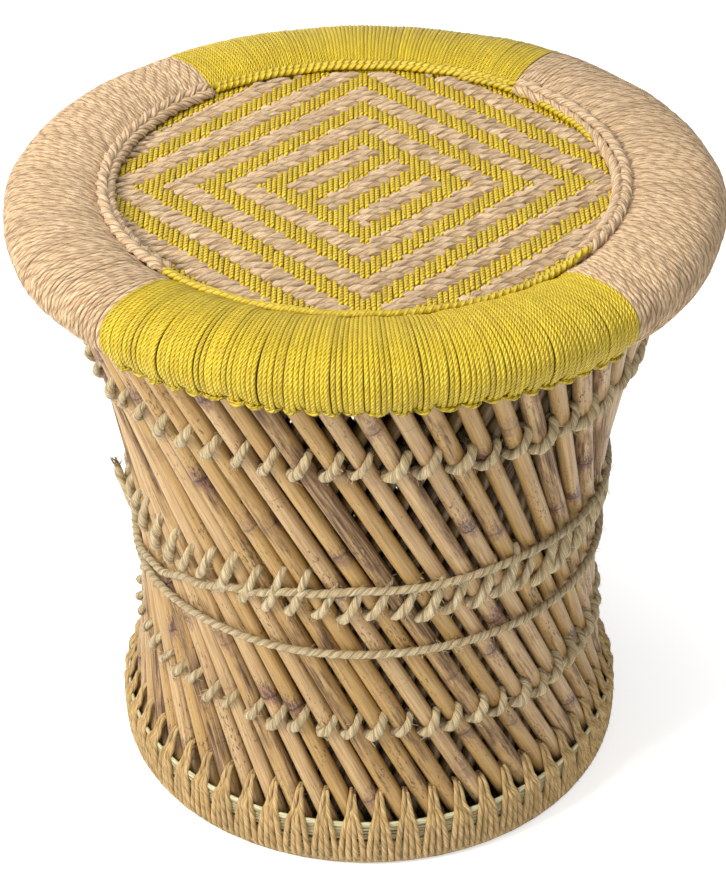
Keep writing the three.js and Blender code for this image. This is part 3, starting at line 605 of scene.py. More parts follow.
def waist_radius(foot, head, twist):
    """How near the middle axis a straight reed comes that turns by this angle on its way up."""
    chord = math.sqrt(foot ** 2 + head ** 2 - 2 * foot * head * math.cos(math.radians(twist)))
    return foot * head * math.sin(math.radians(twist)) / chord


def waist_step(difference):
    """How far apart the layers are at the waist when their angles differ by so much."""
    whole = CROSSINGS * PITCH
    outer = waist_radius(OUTER_FOOT, OUTER_HEAD, (whole - difference) / 2)
    inner = waist_radius(OUTER_FOOT - LAYER_STEP, OUTER_HEAD - LAYER_STEP, (whole + difference) / 2)
    return outer - inner


low, high = -20.0, 20.0
for _ in range(60):
    middle = (low + high) / 2
    if waist_step(middle) < LAYER_STEP:
        low = middle
    else:
        high = middle
OUTER = {"foot": OUTER_FOOT, "head": OUTER_HEAD, "twist": -(CROSSINGS * PITCH - low) / 2}
INNER = {"foot": OUTER_FOOT - LAYER_STEP, "head": OUTER_HEAD - LAYER_STEP,
         "twist": (CROSSINGS * PITCH + low) / 2}
print("the layers turn by", round(OUTER["twist"], 1), "and", round(INNER["twist"], 1), "degrees")

# %% Measures on the layers
def reed_point(layer, degrees, height):
    """The middle of the reed that stands at this angle at its foot, at a height."""
    share = (height - FOOT_HEIGHT) / (HEAD_HEIGHT - FOOT_HEIGHT)
    foot = polar(layer["foot"], degrees, FOOT_HEIGHT)
    return foot.lerp(polar(layer["head"], degrees + layer["twist"], HEAD_HEIGHT), share)


def layer_radius(layer, height):
    """How far a layer's reeds are from the middle axis at a height."""
    return Vector(reed_point(layer, 0, height)[:2]).length


def layer_angle(layer, height):
    """How far a layer's reeds have turned from their feet at a height, in degrees."""
    point = reed_point(layer, 0, height)
    return math.degrees(math.atan2(point.y, point.x))


def crossing_height(number):
    """The height where an outer reed passes the inner reed that is this many spacings on."""
    below, above = FOOT_HEIGHT, HEAD_HEIGHT
    for _ in range(40):
        middle = (below + above) / 2
        if layer_angle(INNER, middle) - layer_angle(OUTER, middle) < number * PITCH:
            below = middle
        else:
            above = middle
    return below


narrowest = min(layer_radius(OUTER, z) for z in range(30, 380))
print("waist:", round(narrowest, 1), "mm to the outer reeds' middle")

# %% [markdown]
# ## Reeds
# Sarkanda reeds are stiff golden canes as thick as a little finger. Every 15 to 34 cm a joint swells
# a little and turns purple-brown, and old ones are freckled, grooved and grey. A plain cylinder for
# each would look like a metal rod. So a tree takes the straight lines, gives each reed its own joints
# and thickness, bends it slightly and sweeps a circle along it.

# %% Reed tree: joints, girth and bend
# The swelling reaches this far from the joint, and a bend is about as long as this
JOINT_REACH_MM = 6
BEND_MM = 200
LEAST_GIRTH, MOST_GIRTH = 0.93, 1.09
reed_tree, given = open_tree("reeds_along_lines", {
    "Radius": "Float", "Points": "Int", "Sides": "Int", "Shortest Joint": "Float",
    "Longest Joint": "Float", "Swelling": "Float", "Bend": "Float", "Seed": "Int",
    "Material": "Material"})
lines = add(reed_tree, "GeometryNodeMeshToCurve", [given["Geometry"]])
lines = add(reed_tree, "GeometryNodeResampleCurve", {"Curve": lines, "Count": given["Points"]})
# What each reed has of its own: its tone, how long its joints are, and where they start
which = add(reed_tree, "GeometryNodeCurveOfPoint")
draws = []
for number, least, most in ((0.0, 0.0, 1.0), (1.0, given["Shortest Joint"], given["Longest Joint"]),
                            (2.0, 0.0, 1.0)):
    seed = add(reed_tree, "ShaderNodeMath", [given["Seed"], number], operation="ADD")
    draw = add(reed_tree, "FunctionNodeRandomValue", {2: least, 3: most, "ID": which, "Seed": seed},
               data_type="FLOAT")
    draws.append(draw.outputs[1])
tone, joint, start = draws
# How far each point is from the nearest joint
travel = add(reed_tree, "GeometryNodeSplineParameter")
joints = add(reed_tree, "ShaderNodeMath", [travel.outputs["Length"], joint], operation="DIVIDE")
joints = add(reed_tree, "ShaderNodeMath", [joints, start], operation="ADD")
joints = add(reed_tree, "ShaderNodeMath", [joints], operation="FRACT")
joints = add(reed_tree, "ShaderNodeMath", [joints, 0.5], operation="SUBTRACT")
gap = add(reed_tree, "ShaderNodeMath", [joints, joint], operation="MULTIPLY")
away = add(reed_tree, "ShaderNodeMath", [gap], operation="ABSOLUTE")
# The girth: each reed's own, and more at the joints
swell = add(reed_tree, "ShaderNodeMapRange", [away, 0.0, JOINT_REACH_MM * MM, given["Swelling"], 0.0],
            interpolation_type="SMOOTHSTEP")
own = add(reed_tree, "ShaderNodeMapRange", {"Value": start, "To Min": LEAST_GIRTH, "To Max": MOST_GIRTH})
girth = add(reed_tree, "ShaderNodeMath", [own, swell], operation="ADD")
girth = add(reed_tree, "ShaderNodeMath", [girth, given["Radius"]], operation="MULTIPLY")
# A slight bend, none at the ends, where the reed is held
spot = add(reed_tree, "GeometryNodeInputPosition")
drift = add(reed_tree, "ShaderNodeTexNoise",
            {"Vector": spot, "W": joint, "Scale": 1 / (BEND_MM * MM), "Detail": 1.0},
            noise_dimensions="4D")
centred = add(reed_tree, "ShaderNodeVectorMath", [drift.outputs["Color"], (0.5, 0.5, 0.5)],
              operation="SUBTRACT")
free = add(reed_tree, "ShaderNodeMath", [travel.outputs["Factor"], math.pi], operation="MULTIPLY")
free = add(reed_tree, "ShaderNodeMath", [free], operation="SINE")
amount = add(reed_tree, "ShaderNodeMath", [free, given["Bend"]], operation="MULTIPLY")
offset = add(reed_tree, "ShaderNodeVectorMath", {0: centred, "Scale": amount}, operation="SCALE")
print("joints, girth and bend take", len(reed_tree.nodes), "nodes")

# %% Reed tree: sweep, with what the material reads
for label, value in (("tone", tone), ("along", travel.outputs["Length"]), ("joint_gap", gap),
                     ("thickness", girth), ("age", start)):
    lines = add(reed_tree, "GeometryNodeStoreNamedAttribute",
                {"Geometry": lines, "Name": label, "Value": value}, data_type="FLOAT")
bent = add(reed_tree, "GeometryNodeSetPosition", {"Geometry": lines, "Offset": offset})
profile, _ = marked_circle(reed_tree, given["Sides"])
thick = add(reed_tree, "GeometryNodeInputNamedAttribute", ["thickness"], data_type="FLOAT")
cane = add(reed_tree, "GeometryNodeCurveToMesh",
           {"Curve": bent, "Profile Curve": profile, "Scale": thick, "Fill Caps": True})
close_tree(reed_tree, cane, given)

# %% [markdown]
# ## Reed finish
# The skin of a dried cane is smooth and slightly waxy, so it has a soft shine. Its colour runs in long
# thin streaks from gold to grey-beige. The joint is a dark ring with a ragged red-brown blotch, and
# patches of dark freckles and weathered grey lie between the joints. Photographed wood would repeat
# on 116 reeds, so each of these is a layer of noise that follows the cane. The inner layer is the
# same cane painted much darker: painted shade for the dark inside of the stool.

# %% Colours of cane
GOLDEN = ((0.28, "#99733e"), (0.50, "#bb9558"), (0.74, "#cfb076"))
BEIGE = ((0.28, "#92734e"), (0.50, "#b89769"), (0.74, "#d1b788"))
WEATHERED = ((0.36, "#34241a"), (0.50, "#775a3f"), (0.66, "#ad9069"))
BLOTCH = ((0.36, "#3c2620"), (0.50, "#6c4437"), (0.64, "#96715a"))
FRECKLE, JOINT_RING = "#513622", "#44291e"
WAXY_ROUGHNESS, WORN_ROUGHNESS = 0.38, 0.75
# How much the noise is shortened along the reed: the less, the longer its streaks
STREAK_STRETCH, WORN_STRETCH, FRECKLE_STRETCH = 0.035, 0.16, 0.35
print("streaks of cane are", round(1 / STREAK_STRETCH), "times as long as wide")

# %% Material for the reeds
def cane_finish(name, shade):
    """Dried cane; the shade is how light it is as a whole: its own tone on the outer layer, and painted
    shade on the inner one.
    """
    material, tree = blank_material(name)
    places, _, _, _, tone = fibre_places(tree, REED_RADIUS,
                                         (STREAK_STRETCH, WORN_STRETCH, FRECKLE_STRETCH))
    age, gap = [add(tree, "ShaderNodeAttribute", attribute_name=label).outputs["Fac"]
                for label in ("age", "joint_gap")]
    # Streaks, weather, flecks, and where flecks crowd. The lines in the skin of real cane are a third of
    # a millimetre apart, too fine to show, so the streaks are drawn coarser
    noises = []
    for place, grain_mm, detail, roughness in ((places[0], 1.3, 4.0, 0.65), (places[1], 9.0, 5.0, 0.7),
                                               (places[2], 1.1, 2.0, 0.5), (places[2], 12.0, 1.0, 0.5)):
        noises.append(add(tree, "ShaderNodeTexNoise", {"Vector": place, "Scale": 1 / (grain_mm * MM),
                                                       "Detail": detail, "Roughness": roughness}))
    streaks, weather, flecks, crowd = noises
    # Some reeds are golden and some beige
    which = add(tree, "ShaderNodeMapRange", [tone, 0.25, 0.75])
    # Weathered reeds: old brown-grey skin, in long streaky patches
    older = add(tree, "ShaderNodeMath", [age, 0.36, weather], operation="MULTIPLY_ADD")
    worn = add(tree, "ShaderNodeMapRange", [older, 0.725, 0.86, 0.0, 0.92])
    # Freckles: short dark flecks that crowd together in patches
    crowded = add(tree, "ShaderNodeMath", [crowd, 0.55, flecks], operation="MULTIPLY_ADD")
    freckle = add(tree, "ShaderNodeMapRange", [crowded, 0.93, 1.04, 0.0, 0.8])
    # The joint: a ragged red-brown blotch that fades up the reed, in millimetres from the joint
    torn = add(tree, "ShaderNodeMath", [flecks, 0.8, weather], operation="MULTIPLY_ADD")
    torn = add(tree, "ShaderNodeMath", [torn, 0.9], operation="SUBTRACT")
    ragged = add(tree, "ShaderNodeMath", [torn, 40 * MM, gap], operation="MULTIPLY_ADD")
    below = add(tree, "ShaderNodeMapRange", [ragged, -9 * MM, -3 * MM])
    above = add(tree, "ShaderNodeMapRange", [ragged, 4 * MM, 12 * MM, 1.0, 0.0])
    blotch = add(tree, "ShaderNodeMath", [below, above], operation="MULTIPLY")
    # And a thin dark ring where the leaf grew
    near = add(tree, "ShaderNodeMath", [torn, 3.5 * MM, gap], operation="MULTIPLY_ADD")
    near = add(tree, "ShaderNodeMath", [near], operation="ABSOLUTE")
    ring = add(tree, "ShaderNodeMapRange", [near, 0.3 * MM, 1.3 * MM, 0.9, 0.0])
    # Some joints are dark and some are hardly marked
    marked = add(tree, "ShaderNodeMapRange", [crowd, 0.40, 0.58, 0.25, 0.90])
    blotch = add(tree, "ShaderNodeMath", [blotch, marked], operation="MULTIPLY")
    ring = add(tree, "ShaderNodeMath", [ring, marked], operation="MULTIPLY")
    golden, beige, grey, red = [
        add(tree, "ShaderNodeValToRGB", [driver], stops)
        for driver, stops in ((streaks, GOLDEN), (streaks, BEIGE), (streaks, WEATHERED), (flecks, BLOTCH))]
    # From the clean skin outwards, each layer covers the one before it
    cane = golden
    for factor, layer in ((which, beige), (worn, grey), (freckle, linear(FRECKLE)), (blotch, red),
                          (ring, linear(JOINT_RING))):
        cane = add(tree, "ShaderNodeMix", {"Factor": factor, 6: cane, 7: layer},
                   data_type="RGBA").outputs[2]
    # No two reeds are equally light
    light = add(tree, "ShaderNodeMapRange",
                {"Value": tone, "To Min": 0.88 * shade, "To Max": 1.10 * shade})
    cane = add(tree, "ShaderNodeHueSaturation", {"Color": cane, "Value": light})
    rough = add(tree, "ShaderNodeMapRange",
                {"Value": worn, "To Min": WAXY_ROUGHNESS, "To Max": WORN_ROUGHNESS})
    grooves = add(tree, "ShaderNodeBump", {"Height": streaks, "Distance": 0.14 * MM})
    scars = add(tree, "ShaderNodeBump", {"Height": ring, "Distance": -0.30 * MM, "Normal": grooves})
    shader = add(tree, "ShaderNodeBsdfPrincipled",
                 {"Base Color": cane, "Roughness": rough, "Specular IOR Level": 0.45, "Normal": scars})
    add(tree, "ShaderNodeOutputMaterial", {"Surface": shader})
    return material


# Sarkanda cane, dried and wiped clean: a soft waxy shine where the skin is whole
reed_finish = cane_finish("dried_sarkanda_cane", 0.94)
# The inner layer: the same cane painted far darker, as painted shade for the dark inside of the stool
shaded_inner_reed_finish = cane_finish("dried_sarkanda_cane_painted_shade", 0.36)
print("two reed finishes made")

# %% [markdown]
# ## Standing the reeds
# Each layer is 58 straight lines from foot to head. They could be copies of one reed turned round the
# ring, but then all would be alike, so each line is written out and strays a little. The heads end
# inside the rim, as the reeds of the measured model do.

# %% The two layers
reed_sets = [name for name in nodes if name.startswith("reed_set")]
# Real reeds vary, and the photograph shows them nearly touching, so they are drawn a little fuller
OUTER_GIRTH, INNER_GIRTH = 5.65, 5.25
OUTER_SETBACK, INNER_SETBACK = -0.2, 0.9
OUTER_STRAY, INNER_STRAY = 0.22, 0.25
REED_BOTTOM, REED_TOP = FOOT_HEIGHT - 1, HEAD_HEIGHT - 6
reed_rng = random.Random(19)


def reed_lines(layer, setback, stray):
    """Straight lines from foot to head, each a few tenths of a degree out of its place."""
    lines = []
    for k in range(REED_COUNT):
        foot = reed_point(layer, k * PITCH + reed_rng.gauss(0, stray), REED_BOTTOM)
        head = reed_point(layer, k * PITCH + reed_rng.gauss(0, stray), REED_TOP)
        inward = Vector((1 - setback / layer["foot"], 1 - setback / layer["foot"], 1))
        lines.append(path_of([foot * inward, head * inward]))
    return lines


REED_SIZES = {"Shortest Joint": 150 * MM, "Longest Joint": 340 * MM, "Swelling": 0.05, "Bend": 2.6 * MM}
grow("outer_reeds", reed_tree, reed_lines(OUTER, OUTER_SETBACK, OUTER_STRAY),
     REED_SIZES | {"Radius": OUTER_GIRTH * MM, "Points": 110, "Sides": 14, "Seed": 11,
                   "Material": reed_finish}, reed_sets)
# The inner layer takes the darker copy of the cane, which is painted shade
grow("inner_reeds", reed_tree, reed_lines(INNER, INNER_SETBACK, INNER_STRAY),
     REED_SIZES | {"Radius": INNER_GIRTH * MM, "Points": 64, "Sides": 12, "Seed": 41,
                   "Material": shaded_inner_reed_finish}, reed_sets)

# %% [markdown]
# ## Lashings
# Three rows of straw rope tie the layers. In each row one rope climbs over an outer reed, dives
# through a diamond hole, passes behind an inner reed and comes out at the next hole. The strokes on
# the front are short and slant the other way from the reeds. Separate hooks would do for the front
# alone, but through the holes one sees the rope go on, so each row is one closed path.

# %% Path of a lashing
ROPE_RADIUS = 2.5
UNTWISTED_MM = 9000
STROKE_HALF_TURN = math.radians(112)
FRONT_POINTS, BACK_POINTS = 15, 8
CROSSING_HEIGHTS = [crossing_height(number) for number in range(CROSSINGS + 1)]
rng = random.Random(7)


def cord_sizes(width_mm, depth_mm, material, seed, strands=2, groove=0.0, lay_mm=UNTWISTED_MM, sides=8):
    """What the rope tree is told of a cord. A negative lay winds the strands the other way."""
    return {"Width": width_mm * MM, "Thickness": depth_mm * MM, "Strands": strands, "Groove": groove,
            "Lay": lay_mm * MM, "Sides": sides, "Seed": seed, "Material": material}


def lashing_path(wanted_height, stretch, lean, shift):
    """One closed rope round the stool: a stroke over each outer reed, one behind each inner reed."""
    # The row of holes whose middle is nearest to the wanted height
    best = min(range(1, CROSSINGS),
               key=lambda m: abs((CROSSING_HEIGHTS[m] + CROSSING_HEIGHTS[m + 1]) / 2 - wanted_height))
    low_z, high_z = CROSSING_HEIGHTS[best], CROSSING_HEIGHTS[best + 1]
    low_angle = layer_angle(OUTER, low_z) - PITCH / 2
    high_angle = layer_angle(OUTER, high_z) + PITCH / 2
    middle_z, middle_angle = (low_z + high_z) / 2, (low_angle + high_angle) / 2
    low_z, high_z = [middle_z + (z - middle_z) * stretch + shift for z in (low_z, high_z)]
    low_angle, high_angle = [middle_angle + (a - middle_angle) * lean for a in (low_angle, high_angle)]
    points, girths = [], []
    for k in range(REED_COUNT):
        nudge, slide = rng.gauss(0, 1.5), rng.gauss(0, 0.35)
        plump, pull = rng.uniform(0.86, 1.24), rng.uniform(0.85, 1.18)
        for i in range(FRONT_POINTS):
            bend = -STROKE_HALF_TURN + 2 * STROKE_HALF_TURN * i / (FRONT_POINTS - 1)
            share = 0.5 + 0.5 * math.sin(bend)
            # The low end hooks sideways before the rope climbs
            climb = share ** 1.35
            height = low_z + (high_z - low_z) * (0.5 + (climb - 0.5) * pull) + nudge
            over = (OUTER_GIRTH + ROPE_RADIUS * 0.85) * math.cos(bend) + 0.3
            radius = layer_radius(OUTER, height) + over
            angle = low_angle + (high_angle - low_angle) * share ** 0.85 + slide + k * PITCH
            points.append(polar(radius, angle, height))
            girths.append(plump * (1.0 + 0.22 * math.cos(bend + 0.9)))
        for i in range(1, BACK_POINTS + 1):
            share = i / (BACK_POINTS + 1)
            height = high_z + (low_z - high_z) * share + nudge * (1 - share)
            back = layer_radius(INNER, height) - REED_RADIUS - ROPE_RADIUS
            dip = math.sin(math.pi * share) ** 0.6
            radius = layer_radius(OUTER, height) - 4 + (back - layer_radius(OUTER, height) + 4) * dip
            angle = high_angle + (low_angle + PITCH - high_angle) * share
            points.append(polar(radius, angle + k * PITCH, height))
            girths.append(0.9)
    return path_of(points, closed=True, girths=girths)


print("a lashing has", REED_COUNT * (FRONT_POINTS + BACK_POINTS), "points")

# %% The loose end of the waist lashing
FRAYED_FIBRES = 26


def loose_end():
    """The tail of the waist lashing, out at the left, with its fibres spread at the tip."""
    clear = layer_radius(OUTER, 196) + OUTER_GIRTH
    knots = [polar(clear + 1, 191, 180), polar(clear + 4.5, 189, 190),
             polar(clear + 8, 187.5, 200), polar(clear + 9, 187, 209)]
    paths = [path_of(rounded(knots, (5, 5, 5)), girths=[1.0] * 12 + [0.9, 0.8, 0.65, 0.4])]
    for _ in range(FRAYED_FIBRES):
        spread = Vector((rng.gauss(-1.2, 1.6), rng.gauss(0, 1.6), rng.uniform(4, 9)))
        start = knots[3] + Vector((rng.uniform(-1, 1), rng.uniform(-1, 1), -4))
        curl = Vector((rng.gauss(0, 0.7), rng.gauss(0, 0.7), 0))
        paths.append(path_of([start, start + spread * 0.5 + curl, start + spread],
                             girths=[0.20, 0.15, 0.06]))
    return paths


print("its tip frays into", FRAYED_FIBRES, "fibres")

# %% The three lashing rows
# Height of the row, how far its strokes stretch up and sideways, how far they are raised, and the
# fullness and lay of the rope
LASHING_ROWS = {"lower_lashing": (97, 0.80, 1.25, 0, 1.0, -16.5),
                "waist_lashing": (193, 1.95, 1.80, 10, 1.08, -34),
                "upper_lashing": (311, 0.80, 1.25, 0, 1.04, -16.5)}
for cad_node, (height, stretch, lean, shift, fuller, lay_mm) in LASHING_ROWS.items():
    ropes = [lashing_path(height, stretch, lean, shift)]
    if cad_node == "waist_lashing":
        ropes += loose_end()
    sizes = cord_sizes(2.1 * ROPE_RADIUS * fuller, 2.0 * ROPE_RADIUS * fuller, straw_rope, 5,
                       groove=0.16, lay_mm=lay_mm, sides=10)
    grow(cad_node + "_rope", rope_tree, ropes, sizes, [cad_node], STRAW_HAIRS)

# %% [markdown]
# ## The two waist ropes
# Two more ropes ride outside the reeds at the waist, loosely held by the lashing. Two level rings
# would be simpler, but hand-laid rope sags and rises. So their heights are read off at a few angles
# and eased between.

# %% Waist ropes
UPPER_HEIGHTS = [(-165, 162), (-150, 169), (-135, 182), (-120, 194), (-105, 203), (-90, 208.5),
                 (-60, 210.5), (-30, 209), (0, 205), (40, 199), (90, 188), (130, 174), (165, 164)]
LOWER_HEIGHTS = [(-165, 153), (-120, 158), (-60, 159), (0, 157), (90, 152), (165, 152)]
WAIST_STEPS = 420


def eased(table, degrees):
    """The height at an angle, eased between the angles of the table, all the way round."""
    angle = (degrees + 165) % 360 - 165
    ring = table + [(table[0][0] + 360, table[0][1])]
    for (a, low_value), (b, high_value) in zip(ring, ring[1:]):
        if a <= angle <= b:
            share = (angle - a) / (b - a)
            return low_value + (high_value - low_value) * share * share * (3 - 2 * share)
    return table[0][1]


def wavy(waves, degrees):
    """The sum at an angle of a few waves round the ring: where each starts, its count and height."""
    return sum(lift * math.sin(math.radians(count * degrees + start)) for start, count, lift in waves)


def waist_path(table, seed):
    """One closed rope that lies on the outer reeds at the heights of the table."""
    wobble = random.Random(seed)
    waves = [(wobble.uniform(0, 360), wobble.choice((3, 5, 8)), wobble.uniform(0.2, 0.7))
             for _ in range(4)]
    points = []
    for i in range(WAIST_STEPS):
        angle = 360 * i / WAIST_STEPS
        height = eased(table, angle) + wavy(waves, angle)
        radius = layer_radius(OUTER, height) + OUTER_GIRTH + ROPE_RADIUS + 0.1
        points.append(polar(radius, angle, height))
    return path_of(points, closed=True)


for cad_node, table, seed in (("upper_waist_rope", UPPER_HEIGHTS, 3),
                              ("lower_waist_rope", LOWER_HEIGHTS, 4)):
    sizes = cord_sizes(2.1 * ROPE_RADIUS, 2.0 * ROPE_RADIUS, straw_rope, 5, groove=0.16, lay_mm=-15.5,
                       sides=12)
    grow(cad_node + "_laid", rope_tree, [waist_path(table, seed)], sizes, [cad_node],
         STRAW_HAIRS)

# %% [markdown]
# ## Foot ring
# The reed feet stand between two hoops on a bundle of grass, and browner rope binds it all. Four
# strands meet in each gap between reed feet, spread over the hoop like a leaf, pass under the ring
# and come up inside. Between the leaves the pale hoop and its grass show. A ring with a rope pattern
# on it would close those gaps, so all 232 strands are laid one by one, from one written profile.

# %% Binding of the foot ring
BINDING_OUTER, BINDING_INNER = 163.4, 129.2
FOOT_ROPE_RADIUS = 2.15
TIP_HEIGHT = 51
tip_angle = layer_angle(OUTER, TIP_HEIGHT) + PITCH / 2
STRAND_SHARES = (-0.375, -0.125, 0.125, 0.375)
PROFILE_STEPS = (3, 3, 3, 3, 3, 3, 3, 3, 3, 2, 3, 2, 2, 2, 1, 1)


def binding_strand(k, share):
    """A strand from the tip of a leaf down the outside, under the ring and up the inside."""
    r_out = BINDING_OUTER - FOOT_ROPE_RADIUS
    r_in = BINDING_INNER + FOOT_ROPE_RADIUS
    jitter = rng.uniform(-0.035, 0.035)
    # The two strands in the middle of a leaf start lower and lie over the others
    inner = abs(share) < 0.2
    drop = (7.0 if inner else 1.0) + rng.uniform(-1.5, 1.5)
    tip = share * 0.16
    over = 0.6 if inner else 0.0
    # Radius, height, and how far to the side as a share of the spacing of the reeds
    profile = [(layer_radius(OUTER, TIP_HEIGHT) - 1, TIP_HEIGHT - drop + 1.0, tip),
               (layer_radius(OUTER, TIP_HEIGHT) + 3.5, TIP_HEIGHT - drop + 1.2, tip),
               (layer_radius(OUTER, 46) + 6.2 + over, TIP_HEIGHT - drop - 2.5, tip * 1.6),
               (layer_radius(OUTER, 40) + 8.0 + over, 39 - drop * 0.3, share * 0.42),
               (r_out - 0.8 + over, 34, share * 0.62 + jitter),
               (r_out - 0.4 + over * 0.4, 27, share * 0.78 + jitter),
               (r_out + 0.2, 20, share * 0.90 + jitter),
               (r_out, 13, share + jitter),
               (r_out - 0.6, 7, share + jitter),
               (r_out - 3.0, 3.0, share + jitter),
               (r_out - 8, FOOT_ROPE_RADIUS, share),
               (r_in + 8, FOOT_ROPE_RADIUS, share),
               (r_in + 1.5, 4, share),
               (r_in, 10, share),
               (r_in, 22, share),
               (r_in + 1, 29, share * 0.8),
               (r_in + 5, 31.5, share * 0.6)]
    points = [polar(r, tip_angle + (k + s) * PITCH, z) for r, z, s in profile]
    return rounded(points, PROFILE_STEPS)


strands = []
for k in range(REED_COUNT):
    for share in STRAND_SHARES:
        strand = binding_strand(k, share)
        # Thin at the tip of the leaf, and full from the hoop on
        full = rng.uniform(0.92, 1.06)
        girths = [full * min(0.88, 0.55 + 0.022 * i) for i in range(len(strand))]
        strands.append(path_of(strand, girths=girths))
binding = grow("base_binding_rope", rope_tree, strands,
               cord_sizes(2 * FOOT_ROPE_RADIUS, 2 * FOOT_ROPE_RADIUS, foot_rope, 9, groove=0.10,
                          lay_mm=-26),
               ["base_binding"], JUTE_HAIRS | {"Fibres per Square Metre": 4000.0})
# The floor presses the loose fibres under the ring flat
for vertex in binding.data.vertices:
    vertex.co.z = max(vertex.co.z, 0.0)

# %% [markdown]
# ## Hoop of grass stems
# The outer hoop is a sheaf of split stems laid round the ring, with one broad pale strip of reed skin
# on top that catches the light. Only streaks of it show between the leaves, so ten thin rings in the
# place of hundreds of stems are enough.

# %% Stems and pale strip
# Split stems of dry grass: matt and greenish, with a dull inside and a paler skin
stem_finish = twisted_finish("split_grass_stems", ("#3d3423", "#6f6446", "#a99d76", "#dcd6b4"),
                             strands=1, radius_mm=0.8, fibre_mm=0.5, fibre_depth_mm=0.2,
                             groove_shade_share=0.0, roughness=0.6, specular=0.35, sheen=0.0)
# The skin of a split reed, scraped: nearly white, smooth and a little shiny
strip_finish = twisted_finish("split_reed_skin_pale", ("#8d8a68", "#9a9668", "#c9c69a", "#f2f0d8"),
                              strands=1, radius_mm=2.0, fibre_mm=0.6, fibre_depth_mm=0.15,
                              groove_shade_share=0.0, roughness=0.35, specular=0.5, sheen=0.0)


def ring_path(radius, height, steps, seed, sway):
    """A closed ring that sways a little up and down, and by less than half of that in and out."""
    wobble = random.Random(seed)
    waves = [(wobble.uniform(0, 360), wobble.choice((4, 7, 11)), wobble.uniform(0.2, 1.0) * sway)
             for _ in range(3)]
    points = []
    for i in range(steps):
        angle = 360 * i / steps
        lift = wavy(waves, angle)
        points.append(polar(radius + lift * 0.4, angle, height + lift))
    return path_of(points, closed=True)


stems = [ring_path(158.6 + 0.5 * (i % 2), 21.5 + 1.15 * i, steps=200, seed=60 + i, sway=0.5)
         for i in range(10)]
grow("hoop_grass_stems", rope_tree, stems,
     cord_sizes(1.7, 1.7, stem_finish, 21, strands=1, lay_mm=900, sides=6), ["base_outer_hoop"])
grow("hoop_pale_strip", rope_tree, [ring_path(158.9, 33.2, steps=240, seed=80, sway=0.25)],
     cord_sizes(4.0, 2.4, strip_finish, 22, strands=1, sides=10), ["base_outer_hoop"])

# %% [markdown]
# ## Rim wound with cord
# The rim is a thick ring of bundled reeds, rounded like a cushion. Yellow cord covers its front and
# back, jute its sides, turn beside turn. One long helix would be true to the cord, but its turns
# could not slip one by one. So each turn is its own closed loop, a little out of step with its
# neighbours, and a dark gap opens here and there.

# %% Section of the rim
RIM_RADIUS, RIM_HEIGHT = 179, 383.5
RIM_HALF_WIDTH, RIM_HALF_HEIGHT = 31, 19.2
# Between an ellipse, whose power is 1, and a box, whose power is 0
RIM_POWER = 2 / 2.3


def rim_offset(angle, inset):
    """Across and up from the middle of the rim at an angle of its section, inset from its skin."""
    c, s = math.cos(angle), math.sin(angle)
    across = (RIM_HALF_WIDTH - inset) * math.copysign(abs(c) ** RIM_POWER, c)
    rise = (RIM_HALF_HEIGHT - inset) * math.copysign(abs(s) ** RIM_POWER, s)
    return across, rise


def rim_swell(degrees, angle):
    """How much fuller than average the rim is here, as a share: slow bumps, as packed reeds have."""
    slow = math.sin(math.radians(7 * degrees + 40) + angle) + math.sin(math.radians(12 * degrees + 130))
    quick = math.sin(math.radians(23 * degrees) + 2 * angle)
    drift = 0.6 * math.sin(math.radians(5 * degrees))
    pleats = max(-math.cos(angle), 0) * math.sin(math.radians(47 * degrees) + drift)
    return 0.012 * slow + 0.008 * quick + 0.022 * pleats


print("section of the rim:", 2 * RIM_HALF_WIDTH, "by", 2 * RIM_HALF_HEIGHT, "mm")

# %% Bows in which the yellow wraps hang
# The wrap hangs lowest here on the section, and by about this much
BOW_ANGLE = math.radians(-50)
BOW_MM = 2.6


def hanging_bows(start, end, seed):
    """Where the lower edge of a yellow wrap hangs in bows: angle, width in degrees and depth."""
    wobble = random.Random(seed)
    bows = []
    place = start + 0.8
    while place < end - 2.5:
        width = wobble.uniform(2.5, 3.9)
        bows.append((place, width, wobble.uniform(0.8, 1.25)))
        place += width + wobble.uniform(-0.2, 0.7)
    return bows


def bow_at(bows, degrees):
    """How far the edge hangs at an angle: 0 between bows and about 1 in the middle of one."""
    return max([depth * math.sin(math.pi * (degrees - place) / width) ** 0.6
                for place, width, depth in bows if place < degrees < place + width], default=0.0)


front_bows, back_bows = hanging_bows(-132, -46, 12), hanging_bows(53, 127, 13)
print(len(front_bows), "bows in front and", len(back_bows), "behind")

# %% Turns of cord
TURN_POINTS = 44
SLIP_CHANCE = 0.05


